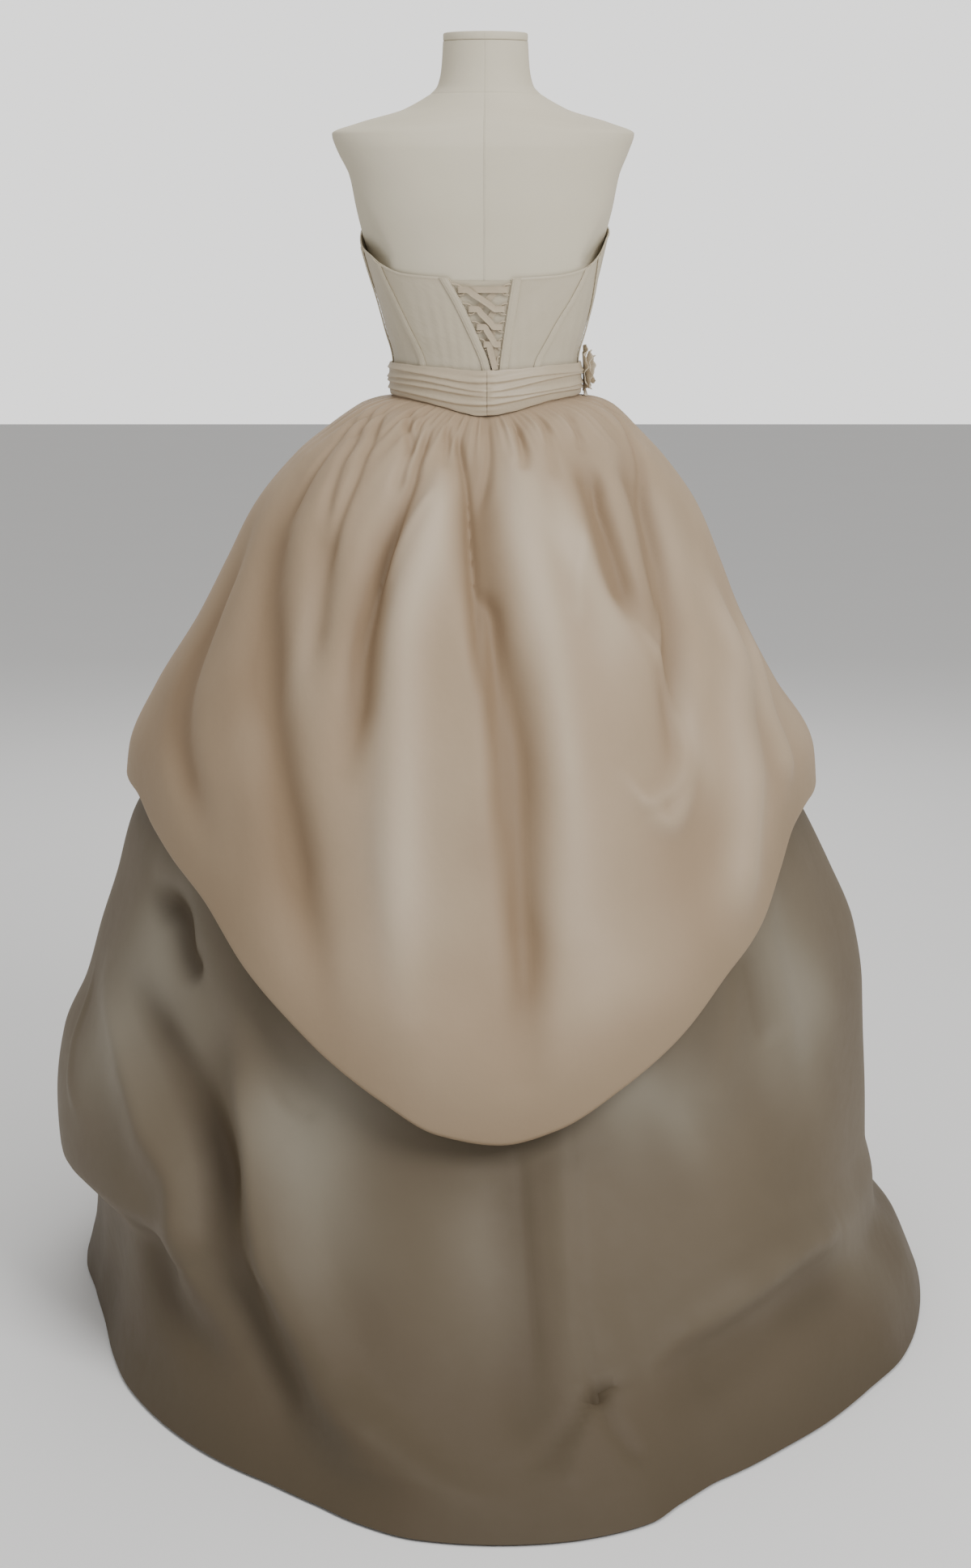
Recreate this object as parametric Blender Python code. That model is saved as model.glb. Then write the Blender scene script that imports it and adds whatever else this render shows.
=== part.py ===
"""Corset dress with a gathered overskirt and a sweep train, standing on a limbless dress form.

Metres, +Z up. The laced back of the dress faces -Y and the origin is on the floor, at the centre of the
underside of the form's round base. An angle of 0 degrees is the centre back and 90 degrees is +X.
"""
import math

import bpy
import numpy as np

COLLECTION = "corset_dress"

GAP = 0.0003
CLOTH = 0.0015
SKIRT_CLOTH = 0.0024
CHANNEL_THICK = 0.0012
CHANNEL_WIDTH = 0.0095
MODESTY_OFFSET = 0.0009
CORSET_OFFSET = 0.0024
CHANNEL_OFFSET = 0.0042
SASH_OFFSET = 0.0078
CORSET_BOTTOM = 1.1410
OVERSKIRT_TOP = 1.1525
FLARE_HEIGHT = 1.1415
FLARE_SHARE = 0.1
SKIRT_TOP = 1.1405
HEM_HEIGHT = 0.0032
SASH_DIP = 0.0205
BASE_RADIUS = 0.1700
BASE_THICK = 0.0140
POLE_RADIUS = 0.0150
FORM_BOTTOM = 0.9000
CAP_BOTTOM = 1.5700
CAP_TOP = 1.5800
RIBBON_WIDTH = 0.0074
RIBBON_THICK = 0.0010
RIBBON_BACK = 0.0034
RIBBON_FRONT = 0.0074
RIBBON_END = 1.1770
LOOP_RADIUS = 0.0010
LOOP_DEPTH = 0.0054
SEAM_SIDE = 90.0

# Half widths of the dress form: height, left, right, back, front, power of the oval.
FORM = [
    (0.9000, 0.1500, 0.1500, 0.1120, 0.1120, 2.0),
    (0.9200, 0.1600, 0.1600, 0.1200, 0.1180, 2.0),
    (0.9700, 0.1610, 0.1610, 0.1200, 0.1180, 2.0),
    (1.0400, 0.1400, 0.1400, 0.0980, 0.1040, 2.0),
    (1.1000, 0.1140, 0.1140, 0.0822, 0.0930, 2.0),
    (1.1400, 0.1097, 0.1097, 0.0817, 0.0892, 2.0),
    (1.1840, 0.1104, 0.1104, 0.0823, 0.0896, 2.0),
    (1.2210, 0.1196, 0.1196, 0.0856, 0.0945, 2.1),
    (1.2600, 0.1301, 0.1301, 0.0900, 0.1040, 2.2),
    (1.3000, 0.1430, 0.1400, 0.0950, 0.1200, 2.3),
    (1.3300, 0.1515, 0.1470, 0.0975, 0.1290, 2.3),
    (1.3700, 0.1600, 0.1570, 0.1000, 0.1280, 2.3),
    (1.4100, 0.1680, 0.1650, 0.0985, 0.1120, 2.3),
    (1.4400, 0.1830, 0.1770, 0.0960, 0.0950, 2.2),
    (1.4600, 0.1890, 0.1830, 0.0890, 0.0820, 2.2),
    (1.4730, 0.1560, 0.1530, 0.0830, 0.0740, 2.0),
    (1.4900, 0.0985, 0.0985, 0.0700, 0.0660, 2.0),
    (1.5180, 0.0587, 0.0587, 0.0575, 0.0575, 2.0),
    (1.5400, 0.0540, 0.0540, 0.0530, 0.0530, 2.0),
    (1.5700, 0.0520, 0.0520, 0.0510, 0.0510, 2.0),
]

# Flat ends of the cut shoulders: height, distance of the flat from the form's axis.
SHOULDER_FLAT = [
    (1.2400, 0.2000),
    (1.2700, 0.1450),
    (1.3030, 0.1290),
    (1.3390, 0.1415),
    (1.3870, 0.1600),
    (1.4400, 0.1760),
    (1.4700, 0.2000),
]
SHOULDER_FACING = 70.0

# Upper edge of the corset: angle in degrees, height.
CORSET_TOP = [
    (-180.0, 1.3550),
    (-150.0, 1.3720),
    (-120.0, 1.3650),
    (-104.0, 1.3450),
    (-88.0, 1.3280),
    (-73.0, 1.3140),
    (-67.0, 1.3050),
    (-53.0, 1.2930),
    (-31.0, 1.2890),
    (0.0, 1.2860),
    (25.0, 1.2880),
    (48.0, 1.2910),
    (64.0, 1.2990),
    (76.0, 1.3170),
    (82.0, 1.3350),
    (104.0, 1.3500),
    (120.0, 1.3650),
    (150.0, 1.3720),
    (180.0, 1.3550),
]

# Seams of the corset in degrees: height, left front, left side, left back, left lacing edge,
# right lacing edge, right back, right side, right front.
SEAMS = [
    (1.1400, -157.0, -92.0, -46.0, 6.0, 9.5, 37.0, 92.0, 157.0),
    (1.1650, -156.0, -91.5, -48.5, 5.8, 9.8, 39.5, 91.5, 156.0),
    (1.1850, -155.0, -91.0, -50.5, 3.3, 11.2, 42.0, 91.0, 155.0),
    (1.2070, -154.0, -90.5, -54.0, -2.5, 12.8, 47.5, 89.5, 154.0),
    (1.2320, -152.0, -89.0, -58.5, -9.5, 14.6, 53.0, 86.5, 152.0),
    (1.2610, -149.0, -86.5, -63.0, -17.5, 16.6, 60.0, 82.0, 149.0),
    (1.2880, -146.0, -84.0, -66.2, -25.2, 18.4, 64.5, 77.5, 146.0),
    (1.3300, -142.0, -82.0, -70.0, -34.0, 21.0, 69.0, 74.0, 142.0),
    (1.3750, -140.0, -80.0, -72.0, -40.0, 23.0, 71.0, 74.0, 140.0),
]

# Overskirt rings: height, left, right, back, front.
OVERSKIRT = [
    (1.1525, 0.1160, 0.1160, 0.0880, 0.0955),
    (1.1415, 0.1161, 0.1161, 0.0881, 0.0956),
    (1.1360, 0.1340, 0.1380, 0.1040, 0.1120),
    (1.1240, 0.1600, 0.1620, 0.1320, 0.1360),
    (1.1000, 0.1980, 0.1900, 0.1660, 0.1650),
    (1.0680, 0.2390, 0.2220, 0.2150, 0.2050),
    (1.0070, 0.2900, 0.2660, 0.2750, 0.2500),
    (0.9400, 0.3250, 0.2960, 0.3280, 0.2880),
    (0.8730, 0.3610, 0.3240, 0.3750, 0.3350),
    (0.7790, 0.4200, 0.3730, 0.4250, 0.3800),
    (0.7030, 0.4530, 0.4180, 0.4550, 0.4100),
    (0.6500, 0.4580, 0.4230, 0.4720, 0.4250),
    (0.5500, 0.4700, 0.4400, 0.5000, 0.4450),
    (0.4500, 0.4800, 0.4550, 0.5200, 0.4600),
    (0.3500, 0.4850, 0.4600, 0.5250, 0.4650),
    (0.3000, 0.4850, 0.4600, 0.5200, 0.4650),
]

# Lower edge of the overskirt: angle in degrees, height.
LOBE_EDGE = [
    (-180.0, 0.5200),
    (-150.0, 0.5450),
    (-120.0, 0.6250),
    (-90.0, 0.6720),
    (-72.7, 0.6680),
    (-60.0, 0.6380),
    (-52.0, 0.6100),
    (-44.0, 0.5780),
    (-34.0, 0.5130),
    (-27.0, 0.4690),
    (-21.0, 0.4290),
    (-13.0, 0.3840),
    (-6.0, 0.3500),
    (2.0, 0.3380),
    (9.0, 0.3530),
    (17.5, 0.3940),
    (26.0, 0.4400),
    (35.0, 0.5000),
    (43.4, 0.5440),
    (51.6, 0.5970),
    (60.7, 0.6410),
    (70.0, 0.6580),
    (90.0, 0.6640),
    (120.0, 0.6200),
    (150.0, 0.5450),
    (180.0, 0.5200),
]
LOBE_ROLL = 0.0065
LOBE_FACING = 0.0140

# Skirt rings: height, left, right, back, front.
SKIRT = [
    (1.1405, 0.1138, 0.1138, 0.0858, 0.0933),
    (1.1300, 0.1142, 0.1142, 0.0862, 0.0937),
    (1.1150, 0.1240, 0.1230, 0.0950, 0.1030),
    (1.0950, 0.1460, 0.1420, 0.1200, 0.1260),
    (1.0600, 0.1820, 0.1720, 0.1600, 0.1580),
    (0.9500, 0.2680, 0.2420, 0.2620, 0.2360),
    (0.8500, 0.3250, 0.2850, 0.3280, 0.2880),
    (0.7500, 0.3780, 0.3320, 0.3760, 0.3300),
    (0.6500, 0.4320, 0.3850, 0.4120, 0.3700),
    (0.6100, 0.4520, 0.4110, 0.4230, 0.3830),
    (0.5450, 0.4700, 0.4420, 0.4370, 0.4020),
    (0.4690, 0.4970, 0.4738, 0.4500, 0.4230),
    (0.3930, 0.5180, 0.4885, 0.4620, 0.4400),
    (0.3270, 0.5465, 0.4910, 0.4780, 0.4520),
    (0.2500, 0.5595, 0.4925, 0.5220, 0.4650),
    (0.2000, 0.5610, 0.4930, 0.5620, 0.4740),
    (0.1490, 0.5150, 0.5030, 0.6120, 0.4840),
    (0.1150, 0.5190, 0.5040, 0.6500, 0.4900),
    (0.0590, 0.5270, 0.5400, 0.7400, 0.5000),
    (0.0032, 0.5450, 0.5600, 0.8340, 0.5100),
]

# Plan shape of the hem against a plain oval: angle in degrees, scale.
HEM_SHAPE = [
    (-180.0, 1.000),
    (-110.0, 1.000),
    (-87.0, 0.969),
    (-75.0, 0.934),
    (-62.7, 0.919),
    (-52.5, 0.927),
    (-43.5, 0.936),
    (-26.9, 0.938),
    (-20.2, 0.937),
    (-14.3, 0.952),
    (-9.9, 0.978),
    (-5.0, 1.000),
    (6.0, 1.008),
    (9.0, 1.005),
    (12.7, 0.996),
    (16.1, 0.965),
    (21.1, 0.941),
    (27.6, 0.940),
    (36.6, 0.952),
    (45.7, 0.968),
    (55.7, 0.997),
    (65.5, 1.007),
    (87.5, 1.016),
    (120.0, 1.000),
    (180.0, 1.000),
]
HEM_SHAPE_HEIGHT = 0.2500

# Gathers below the sash: first angle, last angle, how many, depth, reach down.
GATHERS = [
    (-90.0, -4.0, 12, 0.0055, 0.130),
    (4.0, 90.0, 6, 0.0080, 0.160),
    (90.0, 270.0, 10, 0.0050, 0.120),
]

# Folds of the overskirt: depth, half width, then angle and height along the fold.
OVERSKIRT_FOLDS = {
    "centre_valley": (-0.020, 0.024, [(-12, 1.100), (-5, 1.051), (-2, 0.964), (3.7, 0.836), (5, 0.750),
                                      (5.2, 0.620), (5.4, 0.532), (5.2, 0.414)]),
    "left_centre_valley": (-0.018, 0.020, [(-23.6, 1.049), (-24.3, 0.992), (-23.2, 0.935), (-22.2, 0.875),
                                           (-21.1, 0.806), (-21.6, 0.745)]),
    "left_side_valley": (-0.018, 0.030, [(-62, 1.060), (-60, 1.002), (-52.8, 0.931), (-44.6, 0.863),
                                         (-36.4, 0.779), (-30.6, 0.694), (-26.1, 0.590), (-21.1, 0.477)]),
    "left_short_valley": (-0.010, 0.018, [(-43.6, 1.009), (-36.6, 0.939), (-31.3, 0.845)]),
    "left_outer_valley": (-0.014, 0.026, [(-76, 1.000), (-72, 0.900), (-64, 0.800), (-54, 0.720),
                                          (-46, 0.660)]),
    "centre_left_ridge": (0.014, 0.028, [(-9.5, 1.076), (-12, 1.033), (-14.7, 0.980), (-15.6, 0.911),
                                         (-14, 0.792), (-12.1, 0.617), (-10.2, 0.485)]),
    "centre_right_ridge": (0.012, 0.028, [(18.7, 1.095), (11.7, 1.050), (9.6, 0.964), (11.6, 0.878),
                                          (12.2, 0.748), (11.8, 0.573)]),
    "right_centre_valley": (-0.018, 0.020, [(37.5, 1.082), (32.6, 1.038), (29.7, 0.959), (31.4, 0.896)]),
    "right_side_valley": (-0.020, 0.024, [(60, 1.090), (52.4, 1.051), (44.9, 0.971), (41.4, 0.899),
                                          (35, 0.804), (32.4, 0.727)]),
    "right_loop_ridge": (0.010, 0.016, [(38, 0.840), (36, 0.780), (33, 0.727), (28, 0.680), (24, 0.700)]),
    "right_outer_ridge": (0.014, 0.028, [(61.6, 0.943), (59.6, 0.848), (49.1, 0.765), (41.7, 0.624),
                                         (38, 0.550)]),
    "right_edge_ridge": (0.012, 0.022, [(74, 0.880), (60, 0.758), (57, 0.690)]),
    "front_right_fold": (0.012, 0.040, [(122, 1.000), (124, 0.800), (126, 0.650)]),
    "front_centre_fold": (0.012, 0.040, [(172, 1.000), (174, 0.800), (176, 0.600)]),
    "front_left_fold": (0.012, 0.040, [(-130, 1.000), (-132, 0.800), (-134, 0.650)]),
}

# Folds of the skirt: depth, half width, then angle and height along the fold.
SKIRT_FOLDS = {
    "left_upper_valley": (-0.014, 0.034, [(-62.5, 0.559), (-54.3, 0.538), (-50.4, 0.496), (-45.8, 0.470)]),
    "left_long_ridge": (0.020, 0.042, [(-69.7, 0.422), (-56.5, 0.350), (-49.8, 0.292), (-41.5, 0.239),
                                       (-37.4, 0.146), (-27, 0.106)]),
    "left_long_valley": (-0.014, 0.036, [(-61, 0.433), (-51, 0.392), (-43, 0.336), (-36, 0.279),
                                         (-31, 0.219)]),
    "swag_ridge": (0.028, 0.046, [(-37, 0.496), (-34.6, 0.368), (-28, 0.237), (-21.6, 0.148),
                                  (-14.3, 0.077), (-8.9, 0.050), (-0.6, 0.022)]),
    "swag_valley": (-0.014, 0.044, [(-41, 0.370), (-35, 0.213), (-28, 0.136), (-20, 0.086),
                                    (-13, 0.050)]),
    "left_low_valley": (-0.012, 0.040, [(-51.3, 0.187), (-44, 0.133), (-36, 0.099), (-27, 0.066)]),
    "centre_valley": (-0.012, 0.036, [(4.2, 0.313), (4.3, 0.243), (4.7, 0.176), (4, 0.096), (4.5, 0.061)]),
    "centre_ridge": (0.012, 0.038, [(11.9, 0.335), (9.8, 0.255), (9.2, 0.181), (7.7, 0.113)]),
    "pickup_dimple": (-0.012, 0.034, [(10.6, 0.100), (11.2, 0.092)]),
    "right_crest_ridge": (0.022, 0.040, [(14, 0.102), (26.7, 0.135), (43.1, 0.162), (54, 0.159)]),
    "right_crest_valley": (-0.012, 0.038, [(16, 0.068), (28, 0.095), (43, 0.118), (55, 0.112)]),
    "right_upper_ridge": (0.012, 0.032, [(53.9, 0.584), (47.6, 0.525), (48.1, 0.441), (50.1, 0.353)]),
    "right_upper_valley": (-0.010, 0.030, [(43.5, 0.522), (44.5, 0.450), (46.0, 0.391)]),
    "right_middle_ridge": (0.012, 0.034, [(40, 0.516), (36, 0.409), (31.7, 0.302)]),
    "front_right_fold": (0.014, 0.045, [(125, 0.550), (128, 0.300), (130, 0.060)]),
    "front_centre_fold": (0.014, 0.045, [(170, 0.550), (172, 0.300), (174, 0.060)]),
    "front_left_fold": (0.014, 0.045, [(-135, 0.550), (-138, 0.300), (-140, 0.060)]),
}

# Lacing loops: height, reach in from the edge, half height.
LOOPS = [
    (1.2737, 0.0100, 0.0066),
    (1.2505, 0.0100, 0.0066),
    (1.2290, 0.0090, 0.0064),
    (1.2080, 0.0058, 0.0062),
    (1.1880, 0.0040, 0.0050),
]

# Rosette layers: name, inner radius, outer radius, distance out, rise to the rim, ruffles, ruffle depth.
ROSETTE_LAYERS = [
    ("rosette_outer_layer", 0.0030, 0.0310, 0.1229, 0.0030, 7, 0.0022),
    ("rosette_middle_layer", 0.0030, 0.0250, 0.1246, 0.0075, 6, 0.0018),
    ("rosette_inner_layer", 0.0030, 0.0175, 0.1261, 0.0105, 5, 0.0014),
]
ROSETTE_BUD = (0.0095, 0.1265, 0.0075)
ROSETTE_Y = 0.0150
ROSETTE_Z = 1.1712

MATERIALS = {
    "form_cover": ((0.62, 0.58, 0.50), 0.85, 0.0),
    "stand_metal": ((0.55, 0.55, 0.54), 0.35, 0.9),
    "corset_satin": ((0.62, 0.57, 0.47), 0.42, 0.0),
    "lacing_satin": ((0.68, 0.63, 0.54), 0.38, 0.0),
    "sash_satin": ((0.66, 0.61, 0.51), 0.38, 0.0),
    "rosette_organza": ((0.64, 0.58, 0.47), 0.55, 0.0),
    "overskirt_organza": ((0.52, 0.45, 0.34), 0.50, 0.0),
    "skirt_satin": ((0.38, 0.33, 0.25), 0.42, 0.0),
}


def clear_scene():
    """Remove every object, mesh and curve that is already there."""
    for item in list(bpy.data.objects):
        bpy.data.objects.remove(item, do_unlink=True)
    for mesh in list(bpy.data.meshes):
        bpy.data.meshes.remove(mesh)
    for curve in list(bpy.data.curves):
        bpy.data.curves.remove(curve)


def material_named(name):
    """Principled material with the colour, roughness and metallic value of its row."""
    material = bpy.data.materials.get(name)
    if material is None:
        colour, roughness, metallic = MATERIALS[name]
        material = bpy.data.materials.new(name)
        material.use_nodes = True
        shader = material.node_tree.nodes["Principled BSDF"]
        shader.inputs["Base Color"].default_value = (*colour, 1.0)
        shader.inputs["Roughness"].default_value = roughness
        shader.inputs["Metallic"].default_value = metallic
    return material


def add_object(name, points, faces, material):
    """Named object from points and faces, linked to the collection of the dress."""
    mesh = bpy.data.meshes.new(name)
    mesh.from_pydata([tuple(map(float, point)) for point in points], [], faces)
    mesh.validate()
    mesh.update()
    item = bpy.data.objects.new(name, mesh)
    mesh.materials.append(material_named(material))
    bpy.data.collections[COLLECTION].objects.link(item)
    return item


def smooth_read(table, at):
    """Columns of a table at values of its first column, on smooth curves that stay between the rows."""
    table = np.array(sorted(table), float)
    knots = table[:, 0]
    values = table[:, 1:]
    steps = np.diff(knots)[:, None]
    secants = np.diff(values, axis=0) / steps
    slopes = np.zeros_like(values)
    slopes[0] = secants[0]
    slopes[-1] = secants[-1]
    product = secants[:-1] * secants[1:]
    total = secants[:-1] + secants[1:]
    slopes[1:-1] = np.where(product > 0, 2 * product / np.where(product > 0, total, 1), 0)
    at = np.clip(np.asarray(at, float), knots[0], knots[-1])
    row = np.clip(np.searchsorted(knots, at, side="right") - 1, 0, len(knots) - 2)
    step = steps[row]
    part = (at - knots[row])[..., None] / step
    start = values[row] * (1 + 2 * part) * (1 - part) ** 2
    end = values[row + 1] * part ** 2 * (3 - 2 * part)
    rise = step * slopes[row] * part * (1 - part) ** 2
    fall = step * slopes[row + 1] * part ** 2 * (1 - part)
    return start + end + rise - fall


def wrapped(angle):
    """Angle in degrees between -180 and 180."""
    return (np.degrees(angle) + 180.0) % 360.0 - 180.0


def oval_radius(angle, left, right, back, front, power):
    """Distance from the axis to an oval with its own half width on each of the four sides."""
    side = np.where(np.sin(angle) > 0, right, left)
    deep = np.where(np.cos(angle) > 0, back, front)
    across = np.abs(np.sin(angle)) / side
    along = np.abs(np.cos(angle)) / deep
    return (across ** power + along ** power) ** (-1.0 / power)


def polar(angle, radius, height):
    """Points at an angle from the centre back, a radius from the axis and a height."""
    radius, angle, height = np.broadcast_arrays(radius, angle, height)
    return np.stack([radius * np.sin(angle), -radius * np.cos(angle), height], axis=-1)


def form_radius(angle, height, offset=0.0):
    """Radius of the dress form's smooth body, let out by an offset."""
    ring = smooth_read(FORM, height)
    return oval_radius(angle, ring[..., 0] + offset, ring[..., 1] + offset, ring[..., 2] + offset,
                       ring[..., 3] + offset, ring[..., 4])


def shoulder_radius(angle, height):
    """Radius of the dress form with its shoulder ends cut flat."""
    radius = form_radius(angle, height)
    flat = smooth_read(SHOULDER_FLAT, height)[..., 0]
    flat = np.where((height > SHOULDER_FLAT[0][0]) & (height < SHOULDER_FLAT[-1][0]), flat, 1.0)
    for facing in (-SHOULDER_FACING, SHOULDER_FACING):
        turn = np.cos(angle - math.radians(facing))
        radius = np.where(turn > 0.3, np.minimum(radius, flat / np.maximum(turn, 0.3)), radius)
    return radius


def waist_dip(angle, height):
    """How far the waistline hangs lower at the centre back, fading out down the skirt."""
    near_back = np.exp(-(wrapped(angle) / 42.0) ** 2)
    fade = np.clip((height - 0.98) / 0.12, 0.0, 1.0)
    return SASH_DIP * near_back * fade


def gather_depth(angle, height):
    """Outward depth of the gathers below the sash, deepest just under it and fading down."""
    degrees = wrapped(angle)
    drop = FLARE_HEIGHT - waist_dip(angle, OVERSKIRT_TOP) - height
    depth = np.zeros(np.broadcast(degrees, height).shape)
    for first, last, count, full, reach in GATHERS:
        turned = np.where(degrees < first - 1e-9, degrees + 360.0, degrees)
        inside = (turned >= first) & (turned <= last)
        wave = 0.5 - 0.5 * np.cos(2 * np.pi * count * (turned - first) / (last - first))
        rise = np.clip(drop / 0.016, 0.0, 1.0)
        fall = np.clip(1.0 - drop / reach, 0.0, 1.0) ** 1.5
        depth = np.where(inside, full * wave * rise * fall, depth)
    return depth


def fold_depth(points, folds, radius_at):
    """Depth of all folds at points: each is a rounded ridge or valley along a smooth path."""
    flat = points.reshape(-1, 3)
    total = np.zeros(len(flat))
    for depth, width, path in folds.values():
        keys = np.linspace(0.0, 1.0, len(path))
        table = [(key, *place) for key, place in zip(keys, path)]
        along = np.linspace(0.0, 1.0, 24)
        places = smooth_read(table, along)
        angle = np.radians(places[:, 0])
        line = polar(angle, radius_at(angle, places[:, 1]), places[:, 1])
        start = line[:-1]
        step = line[1:] - line[:-1]
        away = flat[:, None, :] - start[None]
        part = np.clip((away * step).sum(2) / (step ** 2).sum(1), 0.0, 1.0)
        distance = np.linalg.norm(away - part[..., None] * step, axis=2)
        nearest = distance.argmin(1)
        rows = np.arange(len(flat))
        place = (nearest + part[rows, nearest]) / len(step)
        fade = np.clip(4.0 * np.minimum(place + 0.05, 1.05 - place), 0.0, 1.0)
        total += depth * fade * np.exp(-(distance[rows, nearest] / width) ** 2)
    return total.reshape(points.shape[:-1])


def facing(surface, across, down):
    """Unit vectors that face out of a surface, across it is counted round and down it is counted down."""
    small = 1e-4
    down = np.maximum(down, small)
    round_step = surface(across + small, down) - surface(across - small, down)
    down_step = surface(across, down + small) - surface(across, down - small)
    out = np.cross(down_step, round_step)
    return out / np.linalg.norm(out, axis=-1, keepdims=True)


def overskirt_radius(angle, height):
    """Radius of the overskirt without its folds."""
    ring = smooth_read(OVERSKIRT, height + waist_dip(angle, height))
    return oval_radius(angle, ring[..., 0], ring[..., 1], ring[..., 2], ring[..., 3], 2.0)


def overskirt_plain(angle, down):
    """Overskirt without its folds: down runs from 0 at the waist to 1 at the edge, then turns under to 2."""
    edge = smooth_read(LOBE_EDGE, wrapped(angle))[..., 0]
    start = FLARE_HEIGHT - waist_dip(angle, OVERSKIRT_TOP)
    band = np.clip(down / FLARE_SHARE, 0.0, 1.0)
    share = np.clip((down - FLARE_SHARE) / (1.0 - FLARE_SHARE), 0.0, 1.0)
    height = OVERSKIRT_TOP - (OVERSKIRT_TOP - start) * band - (start - edge) * share
    radius = overskirt_radius(angle, height)
    turn = np.pi * np.clip((down - 1.0) / 0.6, 0.0, 1.0)
    up = LOBE_FACING * np.clip((down - 1.6) / 0.4, 0.0, 1.0)
    radius = radius - LOBE_ROLL * (1.0 - np.cos(turn))
    height = height - LOBE_ROLL * np.sin(turn) + up
    return polar(angle, radius, height)


def overskirt_surface(angle, down):
    """Outer face of the overskirt with its gathers and folds."""
    angle, down = np.broadcast_arrays(np.asarray(angle, float), np.asarray(down, float))
    level = np.minimum(down, 1.0)
    points = overskirt_plain(angle, level)
    depth = gather_depth(angle, points[..., 2])
    depth = depth + fold_depth(points, OVERSKIRT_FOLDS, overskirt_radius)
    outward = facing(overskirt_plain, angle, np.minimum(level, 0.9995))
    return overskirt_plain(angle, down) + depth[..., None] * outward


def skirt_radius(angle, height):
    """Radius of the skirt without its folds."""
    ring = smooth_read(SKIRT, height + waist_dip(angle, height))
    radius = oval_radius(angle, ring[..., 0], ring[..., 1], ring[..., 2], ring[..., 3], 2.0)
    scale = smooth_read(HEM_SHAPE, wrapped(angle))[..., 0]
    share = np.clip(1.0 - height / HEM_SHAPE_HEIGHT, 0.0, 1.0)
    share = share * share * (3.0 - 2.0 * share)
    return radius * (1.0 + (scale - 1.0) * share)


def skirt_plain(angle, drop):
    """Skirt without its folds, counted down from the waist by height."""
    lowered = np.clip(drop / 0.0105, 0.0, 1.0) * np.clip((0.16 - drop) / 0.12, 0.0, 1.0)
    height = SKIRT_TOP - drop - lowered * waist_dip(angle, OVERSKIRT_TOP)
    return polar(angle, skirt_radius(angle, height), height)


def skirt_surface(angle, drop):
    """Outer face of the skirt with its folds, flat along the hem."""
    angle, drop = np.broadcast_arrays(np.asarray(angle, float), np.asarray(drop, float))
    points = skirt_plain(angle, drop)
    depth = fold_depth(points, SKIRT_FOLDS, skirt_radius)
    depth = depth * np.clip((points[..., 2] - HEM_HEIGHT) / 0.030, 0.0, 1.0)
    outward = facing(skirt_plain, angle, np.minimum(drop, SKIRT_TOP - HEM_HEIGHT - 1e-4))
    return points + depth[..., None] * outward


def sash_middle(angle):
    """Height of the middle of the sash, lower at the centre back."""
    near_back = np.exp(-(wrapped(angle) / 42.0) ** 2)
    return 1.1630 - 0.0140 * near_back


def sash_half(angle):
    """Half the height of the sash, a little more at the centre back."""
    near_back = np.exp(-(wrapped(angle) / 42.0) ** 2)
    return 0.0195 + 0.0079 * near_back


def add_wall(name, surface, across, down, thickness, material, least=None):
    """Wall of even thickness behind a surface, closed along its four edges."""
    outer = surface(across, down)
    inner = outer - thickness * facing(surface, across, down)
    if least is not None:
        outer[..., 2] = np.maximum(outer[..., 2], least)
        inner[..., 2] = np.maximum(inner[..., 2], least)
    rows, columns = across.shape
    index = np.arange(rows * columns).reshape(rows, columns)
    back = index + rows * columns

    def quads(grid):
        corners = [grid[:-1, :-1], grid[1:, :-1], grid[1:, 1:], grid[:-1, 1:]]
        return np.stack(corners, axis=-1).reshape(-1, 4).tolist()

    def rim(edge, other):
        return np.stack([edge[:-1], edge[1:], other[1:], other[:-1]], axis=-1).tolist()

    faces = quads(index) + [face[::-1] for face in quads(back)]
    faces += rim(index[0], back[0])
    faces += rim(index[-1, ::-1], back[-1, ::-1])
    faces += rim(index[::-1, 0], back[::-1, 0])
    faces += rim(index[:, -1], back[:, -1])
    points = np.concatenate([outer.reshape(-1, 3), inner.reshape(-1, 3)])
    return add_object(name, points, faces, material)


def add_rings(name, rings, material):
    """Closed solid through rings of points, from the lowest up, with a flat face at each end."""
    rings = np.asarray(rings, float)
    count, around = rings.shape[:2]
    index = np.arange(count * around).reshape(count, around)
    following = np.roll(index, -1, axis=1)
    corners = [index[:-1], following[:-1], following[1:], index[1:]]
    faces = np.stack(corners, axis=-1).reshape(-1, 4).tolist()
    faces.append(index[0, ::-1].tolist())
    faces.append(index[-1].tolist())
    return add_object(name, rings.reshape(-1, 3), faces, material)


def add_form():
    """Torso of the form from the hips to the neck, and the flat cap of the neck."""
    heights = np.array([0.900, 0.906, 0.920, 0.980, 1.050, 1.110, 1.140, 1.165, 1.190, 1.225, 1.260,
                        1.300, 1.335, 1.370, 1.410, 1.440, 1.458, 1.473, 1.490, 1.505, 1.520,
                        CAP_BOTTOM - GAP])
    angles = np.linspace(0.0, 2 * np.pi, 30, endpoint=False)
    angle, height = np.meshgrid(angles, heights)
    radius = shoulder_radius(angle, height)
    radius[0] -= 0.012
    radius[1] -= 0.003
    add_rings("form_torso", polar(angle, radius, height), "form_cover")
    angles = np.linspace(0.0, 2 * np.pi, 28, endpoint=False)
    shape = np.array([(CAP_BOTTOM, 0.0505), (CAP_BOTTOM + 0.0015, 0.0520), (CAP_TOP - 0.0020, 0.0520),
                      (CAP_TOP, 0.0500)])
    angle, height = np.meshgrid(angles, shape[:, 0])
    add_rings("form_neck_cap", polar(angle, shape[:, 1:2], height), "form_cover")


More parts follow.
